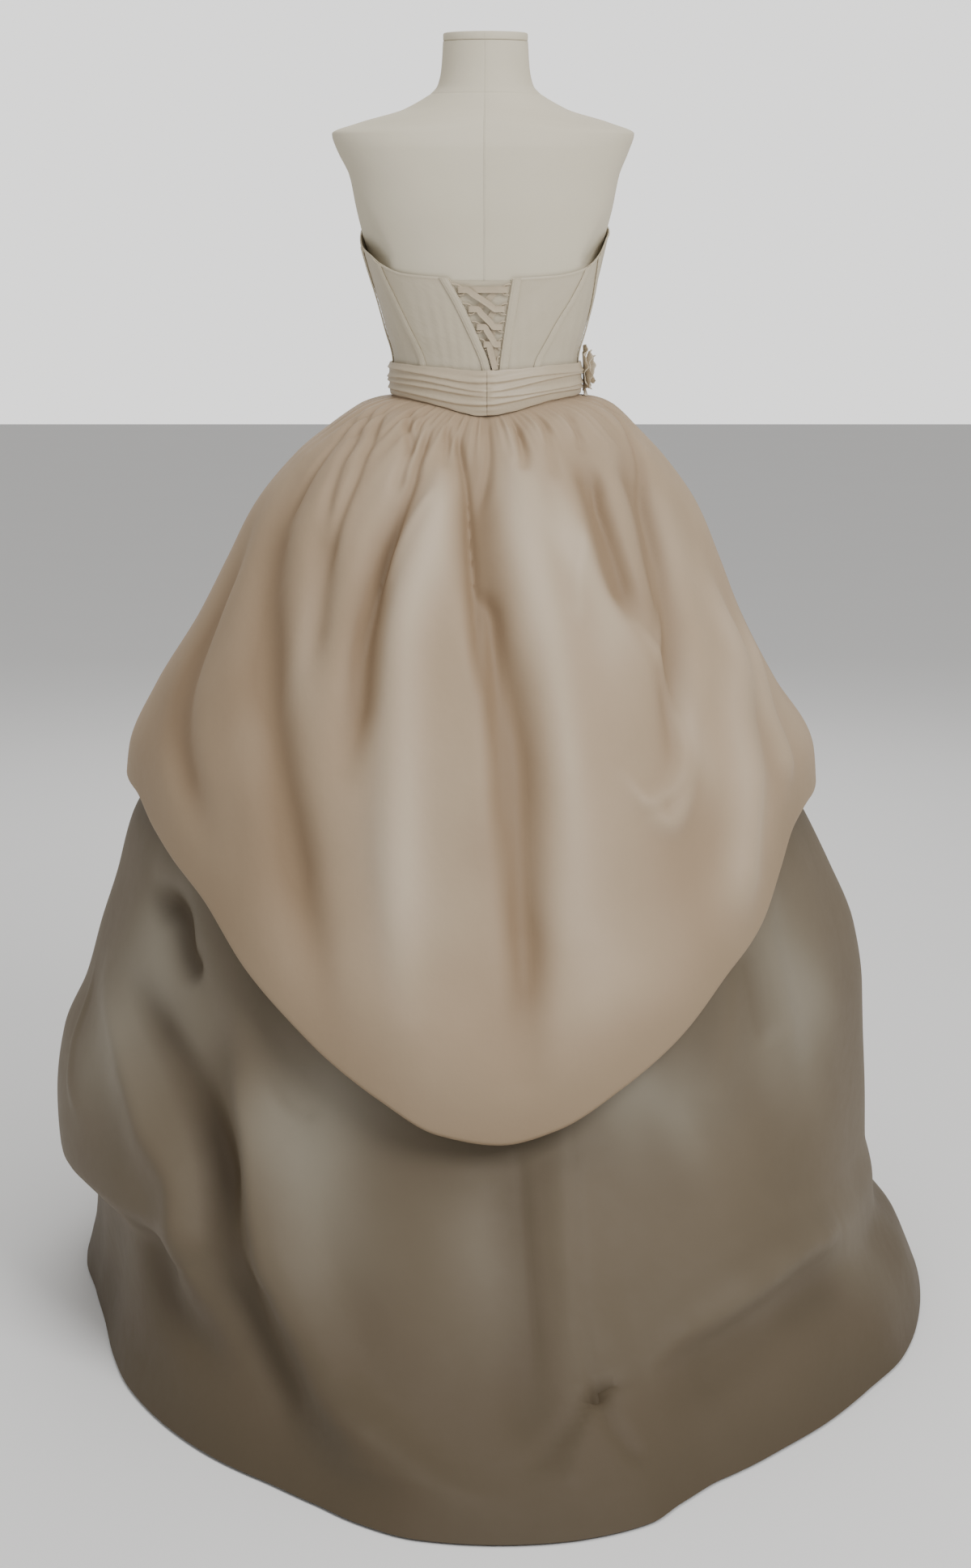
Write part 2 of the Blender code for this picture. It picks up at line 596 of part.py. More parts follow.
def add_stand():
    """Round base on the floor and the pole that carries the form."""
    angles = np.linspace(0.0, 2 * np.pi, 32, endpoint=False)
    shape = np.array([(0.0, BASE_RADIUS - 0.001), (0.001, BASE_RADIUS), (BASE_THICK - 0.003, BASE_RADIUS),
                      (BASE_THICK, BASE_RADIUS - 0.004)])
    angle, height = np.meshgrid(angles, shape[:, 0])
    add_rings("form_base", polar(angle, shape[:, 1:2], height), "stand_metal")
    angles = np.linspace(0.0, 2 * np.pi, 16, endpoint=False)
    angle, height = np.meshgrid(angles, [BASE_THICK + GAP, FORM_BOTTOM - GAP])
    add_rings("form_pole", polar(angle, POLE_RADIUS, height), "stand_metal")


def add_corset_panel(name, left, right, columns):
    """Panel of the corset between two columns of the seam table, half a gap inside each."""
    def surface(share, down):
        angle = np.zeros(share.shape)
        top = np.full(share.shape, 1.32)
        for _ in range(6):
            height = top - (top - CORSET_BOTTOM) * down
            seams = smooth_read(SEAMS, height)
            start = seams[..., left]
            end = seams[..., right] + (360.0 if right < left else 0.0)
            inset = np.degrees(0.5 * GAP / form_radius(np.radians(start), height))
            angle = np.radians(start + inset + (end - start - 2.0 * inset) * share)
            top = smooth_read(CORSET_TOP, wrapped(angle))[..., 0]
        height = top - (top - CORSET_BOTTOM) * down
        return polar(angle, form_radius(angle, height, CORSET_OFFSET + CLOTH), height)

    share, down = np.meshgrid(np.linspace(0.0, 1.0, columns + 1),
                              [0.0, 0.14, 0.30, 0.46, 0.60, 0.73, 0.87, 1.0])
    add_wall(name, surface, share, down, CLOTH, "corset_satin")


def add_channel(name, column, shift):
    """Boning channel along a seam of the corset, moved sideways by a shift."""
    def surface(share, down):
        angle = np.zeros(share.shape)
        top = np.full(share.shape, 1.30)
        for _ in range(6):
            height = top - (top - CORSET_BOTTOM) * down
            seam = np.radians(smooth_read(SEAMS, height)[..., column])
            radius = form_radius(seam, height)
            angle = seam + (shift + CHANNEL_WIDTH * (share - 0.5)) / radius
            top = smooth_read(CORSET_TOP, wrapped(angle))[..., 0]
        height = top - (top - CORSET_BOTTOM) * down
        return polar(angle, form_radius(angle, height, CHANNEL_OFFSET + CHANNEL_THICK), height)

    share, down = np.meshgrid([0.0, 0.5, 1.0], [0.012, 0.14, 0.30, 0.46, 0.60, 0.73, 0.87, 0.895])
    add_wall(name, surface, share, down, CHANNEL_THICK, "corset_satin")


def add_corset():
    """Panels, boning channels and the modesty panel behind the lacing."""
    add_corset_panel("corset_side_front_left", 0, 1, 6)
    add_corset_panel("corset_side_back_left", 1, 2, 4)
    add_corset_panel("corset_back_left", 2, 3, 6)
    add_corset_panel("corset_back_right", 4, 5, 5)
    add_corset_panel("corset_side_back_right", 5, 6, 4)
    add_corset_panel("corset_side_front_right", 6, 7, 6)
    add_corset_panel("corset_front", 7, 0, 8)
    edge = 0.5 * CHANNEL_WIDTH + 0.0008
    add_channel("channel_lacing_left", 3, -edge)
    add_channel("channel_lacing_right", 4, edge)
    add_channel("channel_back_left", 2, 0.0)
    add_channel("channel_back_right", 5, 0.0)
    add_channel("channel_side_left", 1, 0.0)
    add_channel("channel_side_right", 6, 0.0)

    def surface(share, down):
        height = 1.2840 - 0.1180 * down
        reach = 0.0075 / 0.0880
        seams = np.radians(smooth_read(SEAMS, height))
        start = seams[..., 3] - reach
        end = seams[..., 4] + reach
        angle = start + (end - start) * share
        return polar(angle, form_radius(angle, height, MODESTY_OFFSET + CHANNEL_THICK), height)

    share, down = np.meshgrid(np.linspace(0.0, 1.0, 9), [0.0, 0.17, 0.34, 0.5, 0.66, 0.83, 1.0])
    add_wall("modesty_panel", surface, share, down, CHANNEL_THICK, "corset_satin")


def edge_angle(side, height, inward):
    """Angle of a place beside a lacing edge, inward of the edge by a length."""
    seam = math.radians(float(smooth_read(SEAMS, height)[3 if side < 0 else 4]))
    radius = float(form_radius(np.array(seam), np.array(height)))
    return seam - side * inward / radius


def add_loops():
    """Round fabric loops that stand out of the two lacing edges."""
    turns = np.linspace(-0.5 * np.pi, 0.5 * np.pi, 7)
    for number, (height, reach, half) in enumerate(LOOPS, 1):
        for side, word in ((-1, "left"), (1, "right")):
            heights = height + half * np.sin(turns)
            inward = GAP + LOOP_RADIUS * 0.2 + (reach - LOOP_RADIUS) * np.cos(turns) ** 0.7
            angles = np.array([edge_angle(side, *place) for place in zip(heights, inward)])
            line = polar(angles, form_radius(angles, heights, LOOP_DEPTH), heights)
            add_tube("lacing_loop_%s_%d" % (word, number), line, LOOP_RADIUS, 5, "lacing_satin")


def add_tube(name, line, radius, sides, material):
    """Closed round tube along a line of points, with rings square to the line."""
    tangent = np.gradient(line, axis=0)
    tangent /= np.linalg.norm(tangent, axis=1, keepdims=True)
    guide = np.array([0.0, 1.0, 0.0])
    first = np.cross(tangent, guide)
    first /= np.linalg.norm(first, axis=1, keepdims=True)
    second = np.cross(tangent, first)
    turn = np.linspace(0.0, 2 * np.pi, sides, endpoint=False)
    rings = line[:, None] + radius * (np.cos(turn)[None, :, None] * first[:, None]
                                      + np.sin(turn)[None, :, None] * second[:, None])
    return add_rings(name, rings, material)


def pass_loop(side, level, towards_front, rise):
    """Places of the ribbon as it turns round the bar of a loop: angle, height, offset off the form."""
    height, reach, _ = LOOPS[level]
    height += rise
    near = 0.34 * reach
    clear = 1.32 * reach
    start, end = (RIBBON_BACK, RIBBON_FRONT) if towards_front else (RIBBON_FRONT, RIBBON_BACK)
    turn = [(clear, 0.0), (near + 0.12 * reach, 0.06), (near, 0.5), (near + 0.12 * reach, 0.94), (clear, 1.0)]
    return [(edge_angle(side, height, inward), height, start + (end - start) * share)
            for inward, share in turn]


def ribbon_line(rise):
    """Line of the ribbon moved up by a rise, and how far each place belongs to a turn round a loop."""
    low = RIBBON_END + rise
    runs = [[(edge_angle(-1, low, 0.0040), low, RIBBON_BACK)]]
    for level in (3, 2, 1, 0):
        runs.append(pass_loop(1 if level % 2 else -1, level, level % 2 == 1, rise))
    runs.append(pass_loop(1, 0, False, rise))
    for level in (1, 2, 3):
        runs.append(pass_loop(-1 if level % 2 else 1, level, level % 2 == 1, rise))
    runs.append([(edge_angle(1, low, 0.0040), low, RIBBON_FRONT)])
    places = list(runs[0])
    turning = [0.0]
    for before, after in zip(runs, runs[1:]):
        start = np.array(before[-1])
        end = np.array(after[0])
        places += [tuple(start + (end - start) * share) for share in (0.25, 0.5, 0.75)]
        places += after
        turning += [0.0, 0.0, 0.0] + ([0.6, 1.0, 1.0, 1.0, 0.6] if len(after) == 5 else [0.0])
    angle, height, offset = np.array(places).T
    return polar(angle, form_radius(angle, height, offset), height), angle, np.array(turning)[:, None]


def unit(vectors):
    """Vectors of length one."""
    return vectors / np.linalg.norm(vectors, axis=1, keepdims=True)


def add_ribbon():
    """One flat ribbon laced crosswise through the loops, with both ends behind the sash."""
    line, angle, turning = ribbon_line(0.0)
    upward = unit(ribbon_line(0.001)[0] - line)
    along = unit(np.gradient(line, axis=0))
    off = np.stack([np.sin(angle), -np.cos(angle), np.zeros(len(angle))], axis=1)
    across = unit(np.cross(off, along))
    for place in range(1, len(across)):
        before = upward[place] if turning[place] > 0.5 else across[place - 1]
        if across[place] @ before < 0.0:
            across[place] = -across[place]
    if across[0] @ across[1] < 0.0:
        across[0] = -across[0]
    width = unit(upward * turning + across * (1.0 - turning))
    out = 0.5 * RIBBON_THICK * unit(np.cross(along, width))
    half = 0.5 * RIBBON_WIDTH * width
    rings = np.stack([line - half + out, line - half - out, line + half - out, line + half + out], axis=1)
    add_rings("lacing_ribbon", rings, "lacing_satin")


def add_sash():
    """Draped sash in three soft pleats, open at the centre back where its two ends meet."""
    steps = np.linspace(-1.0, 1.0, 13)
    angles = np.radians(np.linspace(1.3, 361.0, 35))
    swell = np.sqrt(np.maximum(1.0 - steps ** 2, 0.0))
    pleat = np.abs(np.sin(1.5 * np.pi * (steps + 1.0)))
    near = np.exp(-(wrapped(angles) / 16.0) ** 2)
    rings = []
    for angle, back in zip(angles, near):
        middle = sash_middle(angle)
        half = sash_half(angle)
        offset = SASH_OFFSET + 0.0024 * back
        height = middle + half * steps
        out = offset + 0.0014 + 0.0016 * swell + 0.0020 * pleat * swell
        outer = polar(angle, form_radius(np.full(13, angle), height, out), height)
        low = middle - half + 0.0006
        high = middle + half - 0.0006
        inner_height = np.array([high, middle, low])
        inner = polar(angle, form_radius(np.full(3, angle), inner_height, offset), inner_height)
        rings.append(np.concatenate([outer, inner]))
    add_rings("waist_sash", np.array(rings)[:, ::-1], "sash_satin")


def add_rosette():
    """Three ruffled round layers and a bud, facing +X on the side of the sash."""
    turns = np.radians(np.linspace(0.0, 360.0, 24, endpoint=False))
    for name, small, large, out, rise, waves, ruffle in ROSETTE_LAYERS:
        shares = np.array([0.0, 0.45, 1.0])
        radius = small + (large - small) * shares
        face = []
        for share, size in zip(shares, radius):
            bend = out + rise * share ** 1.5 + ruffle * share ** 2 * np.sin(waves * turns)
            edge = size * (1.0 + 0.05 * share * np.sin(waves * turns + 1.3))
            face.append(np.stack([bend, edge * np.cos(turns), edge * np.sin(turns)], axis=1))
        face = np.array(face)
        below = face - np.array([0.0012, 0.0, 0.0])
        below[-1, :, 1:] *= 0.985
        rings = np.concatenate([face, below[::-1]])
        rings = rings + np.array([0.0, ROSETTE_Y, ROSETTE_Z])
        add_ring_wall(name, rings)
    size, out, rise = ROSETTE_BUD
    turns = np.radians(np.linspace(0.0, 360.0, 16, endpoint=False))
    rings = []
    for share, deep in ((0.35, 0.0), (0.62, 0.3), (1.0, 0.62), (0.6, 1.0)):
        ring = np.stack([np.full(16, out + rise * deep), size * share * np.cos(turns),
                         size * share * np.sin(turns)], axis=1)
        rings.append(ring + np.array([0.0, ROSETTE_Y, ROSETTE_Z]))
    add_rings("rosette_bud", np.array(rings), "rosette_organza")


def add_ring_wall(name, rings):
    """Closed wall through rings that come back to the first one."""
    count, around = rings.shape[:2]
    index = np.arange(count * around).reshape(count, around)
    following = np.roll(index, -1, axis=1)
    below = np.roll(index, -1, axis=0)
    corner = np.roll(following, -1, axis=0)
    faces = np.stack([index, following, corner, below], axis=-1).reshape(-1, 4)[:, ::-1].tolist()
    add_object(name, rings.reshape(-1, 3), faces, "rosette_organza")


def seam_angles(angles, radius):
    """Angles of every row between two seams, half a gap inside each."""
    angles = np.radians(np.asarray(angles, float))
    inset = 0.5 * GAP / radius[:, None]
    middle = 0.5 * (angles[0] + angles[-1])
    shrink = 1.0 - inset / (0.5 * (angles[-1] - angles[0]))
    return middle + (angles[None] - middle) * shrink


def add_skirts():
    """Overskirt and skirt, each with a back and a front that meet at the side seams."""
    rows = np.array([0.0, FLARE_SHARE, 0.116, 0.140, 0.185, 0.26, 0.36, 0.48, 0.61, 0.75, 0.88, 1.0,
                     1.25, 1.6, 2.0])
    side = overskirt_plain(np.full(len(rows), 0.5 * np.pi), rows)
    radius = np.hypot(side[:, 0], side[:, 1])
    back = np.concatenate([np.linspace(-SEAM_SIDE, -4.0, 37), [0.0], np.linspace(4.0, SEAM_SIDE, 25)])
    front = np.linspace(SEAM_SIDE, 360.0 - SEAM_SIDE, 27)
    for name, angles in (("overskirt_back", back), ("overskirt_front", front)):
        angle = seam_angles(angles, radius)
        down = np.repeat(rows[:, None], len(angles), axis=1)
        add_wall(name, overskirt_surface, angle, down, CLOTH, "overskirt_organza")
    heights = np.array([SKIRT_TOP, 1.130, 1.110, 1.060, 0.960, 0.850, 0.700, 0.590, 0.510, 0.430, 0.350, 0.280,
                        0.215, 0.155, 0.100, 0.050, HEM_HEIGHT])
    radius = skirt_radius(np.full(len(heights), 0.5 * np.pi), heights)
    back = np.linspace(-SEAM_SIDE, SEAM_SIDE, 43)
    front = np.linspace(SEAM_SIDE, 360.0 - SEAM_SIDE, 19)
    for name, angles in (("skirt_back", back), ("skirt_front", front)):
        angle = seam_angles(angles, radius)
        drop = np.repeat(SKIRT_TOP - heights[:, None], len(angles), axis=1)
        add_wall(name, skirt_surface, angle, drop, SKIRT_CLOTH, "skirt_satin", 0.0008)


def main():
    """Build every piece of the dress and its form."""
    clear_scene()
    collection = bpy.data.collections.new(COLLECTION)
    bpy.context.scene.collection.children.link(collection)
    add_stand()
    add_form()
    add_corset()
    add_loops()
    add_ribbon()
    add_sash()
    add_rosette()
    add_skirts()


main()
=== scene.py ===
import math

import bpy
import numpy as np
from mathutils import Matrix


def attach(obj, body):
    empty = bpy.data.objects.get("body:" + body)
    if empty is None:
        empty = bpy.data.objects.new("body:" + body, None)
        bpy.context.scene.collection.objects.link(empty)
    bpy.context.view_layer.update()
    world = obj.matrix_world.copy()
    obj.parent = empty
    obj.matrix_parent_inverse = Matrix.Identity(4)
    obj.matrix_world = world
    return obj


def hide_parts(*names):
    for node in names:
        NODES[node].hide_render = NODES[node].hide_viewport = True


bl_info = {
    "name": "Corset Dress on a Dress Form",
    "version": (1, 0, 0),
    "blender": (4, 5, 0),
    "location": "3D View > Sidebar > Dress",
    "description": "Cloth of a laced corset dress with a gathered overskirt and a sweep train",
    "category": "Add Mesh",
}

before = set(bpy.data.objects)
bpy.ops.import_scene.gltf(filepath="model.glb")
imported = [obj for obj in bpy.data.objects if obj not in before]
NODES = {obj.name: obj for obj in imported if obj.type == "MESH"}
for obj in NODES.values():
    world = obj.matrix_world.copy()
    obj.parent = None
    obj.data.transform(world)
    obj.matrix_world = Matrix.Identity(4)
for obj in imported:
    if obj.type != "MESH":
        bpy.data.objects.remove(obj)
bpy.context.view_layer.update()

# Metres, +Z up. An angle of 0 degrees is the centre back of the dress, which faces -Y, and 90 degrees is +X.

GAP = 0.0003
CLOTH = 0.0015
SKIRT_CLOTH = 0.0024
CHANNEL_THICK = 0.0012
CHANNEL_WIDTH = 0.0095
MODESTY_OFFSET = 0.0009
CORSET_OFFSET = 0.0024
CHANNEL_OFFSET = 0.0042
SASH_OFFSET = 0.0078
CORSET_BOTTOM = 1.1410
OVERSKIRT_TOP = 1.1525
FLARE_HEIGHT = 1.1415
FLARE_SHARE = 0.1
SKIRT_TOP = 1.1405
HEM_HEIGHT = 0.0032
SASH_DIP = 0.0205
BASE_RADIUS = 0.1700
BASE_THICK = 0.0140
POLE_RADIUS = 0.0150
FORM_BOTTOM = 0.9000
CAP_BOTTOM = 1.5700
CAP_TOP = 1.5800
RIBBON_WIDTH = 0.0074
RIBBON_THICK = 0.0010
RIBBON_BACK = 0.0034
RIBBON_FRONT = 0.0074
RIBBON_END = 1.1770
LOOP_RADIUS = 0.0010
LOOP_DEPTH = 0.0054
SEAM_SIDE = 90.0

# Half widths of the dress form: height, left, right, back, front, power of the oval.
FORM = [
    (0.9000, 0.1500, 0.1500, 0.1120, 0.1120, 2.0),
    (0.9200, 0.1600, 0.1600, 0.1200, 0.1180, 2.0),
    (0.9700, 0.1610, 0.1610, 0.1200, 0.1180, 2.0),
    (1.0400, 0.1400, 0.1400, 0.0980, 0.1040, 2.0),
    (1.1000, 0.1140, 0.1140, 0.0822, 0.0930, 2.0),
    (1.1400, 0.1097, 0.1097, 0.0817, 0.0892, 2.0),
    (1.1840, 0.1104, 0.1104, 0.0823, 0.0896, 2.0),
    (1.2210, 0.1196, 0.1196, 0.0856, 0.0945, 2.1),
    (1.2600, 0.1301, 0.1301, 0.0900, 0.1040, 2.2),
    (1.3000, 0.1430, 0.1400, 0.0950, 0.1200, 2.3),
    (1.3300, 0.1515, 0.1470, 0.0975, 0.1290, 2.3),
    (1.3700, 0.1600, 0.1570, 0.1000, 0.1280, 2.3),
    (1.4100, 0.1680, 0.1650, 0.0985, 0.1120, 2.3),
    (1.4400, 0.1830, 0.1770, 0.0960, 0.0950, 2.2),
    (1.4600, 0.1890, 0.1830, 0.0890, 0.0820, 2.2),
    (1.4730, 0.1560, 0.1530, 0.0830, 0.0740, 2.0),
    (1.4900, 0.0985, 0.0985, 0.0700, 0.0660, 2.0),
    (1.5180, 0.0587, 0.0587, 0.0575, 0.0575, 2.0),
    (1.5400, 0.0540, 0.0540, 0.0530, 0.0530, 2.0),
    (1.5700, 0.0520, 0.0520, 0.0510, 0.0510, 2.0),
]

# Flat ends of the cut shoulders: height, distance of the flat from the form's axis.
SHOULDER_FLAT = [
    (1.2400, 0.2000),
    (1.2700, 0.1450),
    (1.3030, 0.1290),
    (1.3390, 0.1415),
    (1.3870, 0.1600),
    (1.4400, 0.1760),
    (1.4700, 0.2000),
]
SHOULDER_FACING = 70.0

# Upper edge of the corset: angle in degrees, height.
CORSET_TOP = [
    (-180.0, 1.3550),
    (-150.0, 1.3720),
    (-120.0, 1.3650),
    (-104.0, 1.3450),
    (-88.0, 1.3280),
    (-73.0, 1.3140),
    (-67.0, 1.3050),
    (-53.0, 1.2930),
    (-31.0, 1.2890),
    (0.0, 1.2860),
    (25.0, 1.2880),
    (48.0, 1.2910),
    (64.0, 1.2990),
    (76.0, 1.3170),
    (82.0, 1.3350),
    (104.0, 1.3500),
    (120.0, 1.3650),
    (150.0, 1.3720),
    (180.0, 1.3550),
]

# Seams of the corset in degrees: height, left front, left side, left back, left lacing edge,
# right lacing edge, right back, right side, right front.
SEAMS = [
    (1.1400, -157.0, -92.0, -46.0, 6.0, 9.5, 37.0, 92.0, 157.0),
    (1.1650, -156.0, -91.5, -48.5, 5.8, 9.8, 39.5, 91.5, 156.0),
    (1.1850, -155.0, -91.0, -50.5, 3.3, 11.2, 42.0, 91.0, 155.0),
    (1.2070, -154.0, -90.5, -54.0, -2.5, 12.8, 47.5, 89.5, 154.0),
    (1.2320, -152.0, -89.0, -58.5, -9.5, 14.6, 53.0, 86.5, 152.0),
    (1.2610, -149.0, -86.5, -63.0, -17.5, 16.6, 60.0, 82.0, 149.0),
    (1.2880, -146.0, -84.0, -66.2, -25.2, 18.4, 64.5, 77.5, 146.0),
    (1.3300, -142.0, -82.0, -70.0, -34.0, 21.0, 69.0, 74.0, 142.0),
    (1.3750, -140.0, -80.0, -72.0, -40.0, 23.0, 71.0, 74.0, 140.0),
]

# Overskirt rings: height, left, right, back, front.
OVERSKIRT = [
    (1.1525, 0.1160, 0.1160, 0.0880, 0.0955),
    (1.1415, 0.1161, 0.1161, 0.0881, 0.0956),
    (1.1360, 0.1340, 0.1380, 0.1040, 0.1120),
    (1.1240, 0.1600, 0.1620, 0.1320, 0.1360),
    (1.1000, 0.1980, 0.1900, 0.1660, 0.1650),
    (1.0680, 0.2390, 0.2220, 0.2150, 0.2050),
    (1.0070, 0.2900, 0.2660, 0.2750, 0.2500),
    (0.9400, 0.3250, 0.2960, 0.3280, 0.2880),
    (0.8730, 0.3610, 0.3240, 0.3750, 0.3350),
    (0.7790, 0.4200, 0.3730, 0.4250, 0.3800),
    (0.7030, 0.4530, 0.4180, 0.4550, 0.4100),
    (0.6500, 0.4580, 0.4230, 0.4720, 0.4250),
    (0.5500, 0.4700, 0.4400, 0.5000, 0.4450),
    (0.4500, 0.4800, 0.4550, 0.5200, 0.4600),
    (0.3500, 0.4850, 0.4600, 0.5250, 0.4650),
    (0.3000, 0.4850, 0.4600, 0.5200, 0.4650),
]

# Lower edge of the overskirt: angle in degrees, height.
LOBE_EDGE = [
    (-180.0, 0.5200),
    (-150.0, 0.5450),
    (-120.0, 0.6250),
    (-90.0, 0.6720),
    (-72.7, 0.6680),
    (-60.0, 0.6380),
    (-52.0, 0.6100),
    (-44.0, 0.5780),
    (-34.0, 0.5130),
    (-27.0, 0.4690),
    (-21.0, 0.4290),
    (-13.0, 0.3840),
    (-6.0, 0.3500),
    (2.0, 0.3380),
    (9.0, 0.3530),
    (17.5, 0.3940),
    (26.0, 0.4400),
    (35.0, 0.5000),
    (43.4, 0.5440),
    (51.6, 0.5970),
    (60.7, 0.6410),
    (70.0, 0.6580),
    (90.0, 0.6640),
    (120.0, 0.6200),
    (150.0, 0.5450),
    (180.0, 0.5200),
]
LOBE_ROLL = 0.0065
LOBE_FACING = 0.0140

# Skirt rings: height, left, right, back, front.
SKIRT = [
    (1.1405, 0.1138, 0.1138, 0.0858, 0.0933),
    (1.1300, 0.1142, 0.1142, 0.0862, 0.0937),
    (1.1150, 0.1240, 0.1230, 0.0950, 0.1030),
    (1.0950, 0.1460, 0.1420, 0.1200, 0.1260),
    (1.0600, 0.1820, 0.1720, 0.1600, 0.1580),
    (0.9500, 0.2680, 0.2420, 0.2620, 0.2360),
    (0.8500, 0.3250, 0.2850, 0.3280, 0.2880),
    (0.7500, 0.3780, 0.3320, 0.3760, 0.3300),
    (0.6500, 0.4320, 0.3850, 0.4120, 0.3700),
    (0.6100, 0.4520, 0.4110, 0.4230, 0.3830),
    (0.5450, 0.4700, 0.4420, 0.4370, 0.4020),
    (0.4690, 0.4970, 0.4738, 0.4500, 0.4230),
    (0.3930, 0.5180, 0.4885, 0.4620, 0.4400),
    (0.3270, 0.5465, 0.4910, 0.4780, 0.4520),
    (0.2500, 0.5595, 0.4925, 0.5220, 0.4650),
    (0.2000, 0.5610, 0.4930, 0.5620, 0.4740),
    (0.1490, 0.5150, 0.5030, 0.6120, 0.4840),
    (0.1150, 0.5190, 0.5040, 0.6500, 0.4900),
    (0.0590, 0.5270, 0.5400, 0.7400, 0.5000),
    (0.0032, 0.5450, 0.5600, 0.8340, 0.5100),
]

# Plan shape of the hem against a plain oval: angle in degrees, scale.
HEM_SHAPE = [
    (-180.0, 1.000),
    (-110.0, 1.000),
    (-87.0, 0.969),
    (-75.0, 0.934),
    (-62.7, 0.919),
    (-52.5, 0.927),
    (-43.5, 0.936),
    (-26.9, 0.938),
    (-20.2, 0.937),
    (-14.3, 0.952),
    (-9.9, 0.978),
    (-5.0, 1.000),
    (6.0, 1.008),
    (9.0, 1.005),
    (12.7, 0.996),
    (16.1, 0.965),
    (21.1, 0.941),
    (27.6, 0.940),
    (36.6, 0.952),
    (45.7, 0.968),
    (55.7, 0.997),
    (65.5, 1.007),
    (87.5, 1.016),
    (120.0, 1.000),
    (180.0, 1.000),
]
HEM_SHAPE_HEIGHT = 0.2500

# Gathers below the sash: first angle, last angle, how many, depth, reach down.
GATHERS = [
    (-90.0, -4.0, 12, 0.0055, 0.130),
    (4.0, 90.0, 6, 0.0080, 0.160),
    (90.0, 270.0, 10, 0.0050, 0.120),
]

# Folds of the overskirt: depth, half width, then angle and height along the fold.
OVERSKIRT_FOLDS = {
    "centre_valley": (-0.020, 0.024, [(-12, 1.100), (-5, 1.051), (-2, 0.964), (3.7, 0.836), (5, 0.750),
                                      (5.2, 0.620), (5.4, 0.532), (5.2, 0.414)]),
    "left_centre_valley": (-0.018, 0.020, [(-23.6, 1.049), (-24.3, 0.992), (-23.2, 0.935), (-22.2, 0.875),
                                           (-21.1, 0.806), (-21.6, 0.745)]),
    "left_side_valley": (-0.018, 0.030, [(-62, 1.060), (-60, 1.002), (-52.8, 0.931), (-44.6, 0.863),
                                         (-36.4, 0.779), (-30.6, 0.694), (-26.1, 0.590), (-21.1, 0.477)]),
    "left_short_valley": (-0.010, 0.018, [(-43.6, 1.009), (-36.6, 0.939), (-31.3, 0.845)]),
    "left_outer_valley": (-0.014, 0.026, [(-76, 1.000), (-72, 0.900), (-64, 0.800), (-54, 0.720),
                                          (-46, 0.660)]),
    "centre_left_ridge": (0.014, 0.028, [(-9.5, 1.076), (-12, 1.033), (-14.7, 0.980), (-15.6, 0.911),
                                         (-14, 0.792), (-12.1, 0.617), (-10.2, 0.485)]),
    "centre_right_ridge": (0.012, 0.028, [(18.7, 1.095), (11.7, 1.050), (9.6, 0.964), (11.6, 0.878),
                                          (12.2, 0.748), (11.8, 0.573)]),
    "right_centre_valley": (-0.018, 0.020, [(37.5, 1.082), (32.6, 1.038), (29.7, 0.959), (31.4, 0.896)]),
    "right_side_valley": (-0.020, 0.024, [(60, 1.090), (52.4, 1.051), (44.9, 0.971), (41.4, 0.899),
                                          (35, 0.804), (32.4, 0.727)]),
    "right_loop_ridge": (0.010, 0.016, [(38, 0.840), (36, 0.780), (33, 0.727), (28, 0.680), (24, 0.700)]),
    "right_outer_ridge": (0.014, 0.028, [(61.6, 0.943), (59.6, 0.848), (49.1, 0.765), (41.7, 0.624),
                                         (38, 0.550)]),
    "right_edge_ridge": (0.012, 0.022, [(74, 0.880), (60, 0.758), (57, 0.690)]),
    "front_right_fold": (0.012, 0.040, [(122, 1.000), (124, 0.800), (126, 0.650)]),
    "front_centre_fold": (0.012, 0.040, [(172, 1.000), (174, 0.800), (176, 0.600)]),
    "front_left_fold": (0.012, 0.040, [(-130, 1.000), (-132, 0.800), (-134, 0.650)]),
}

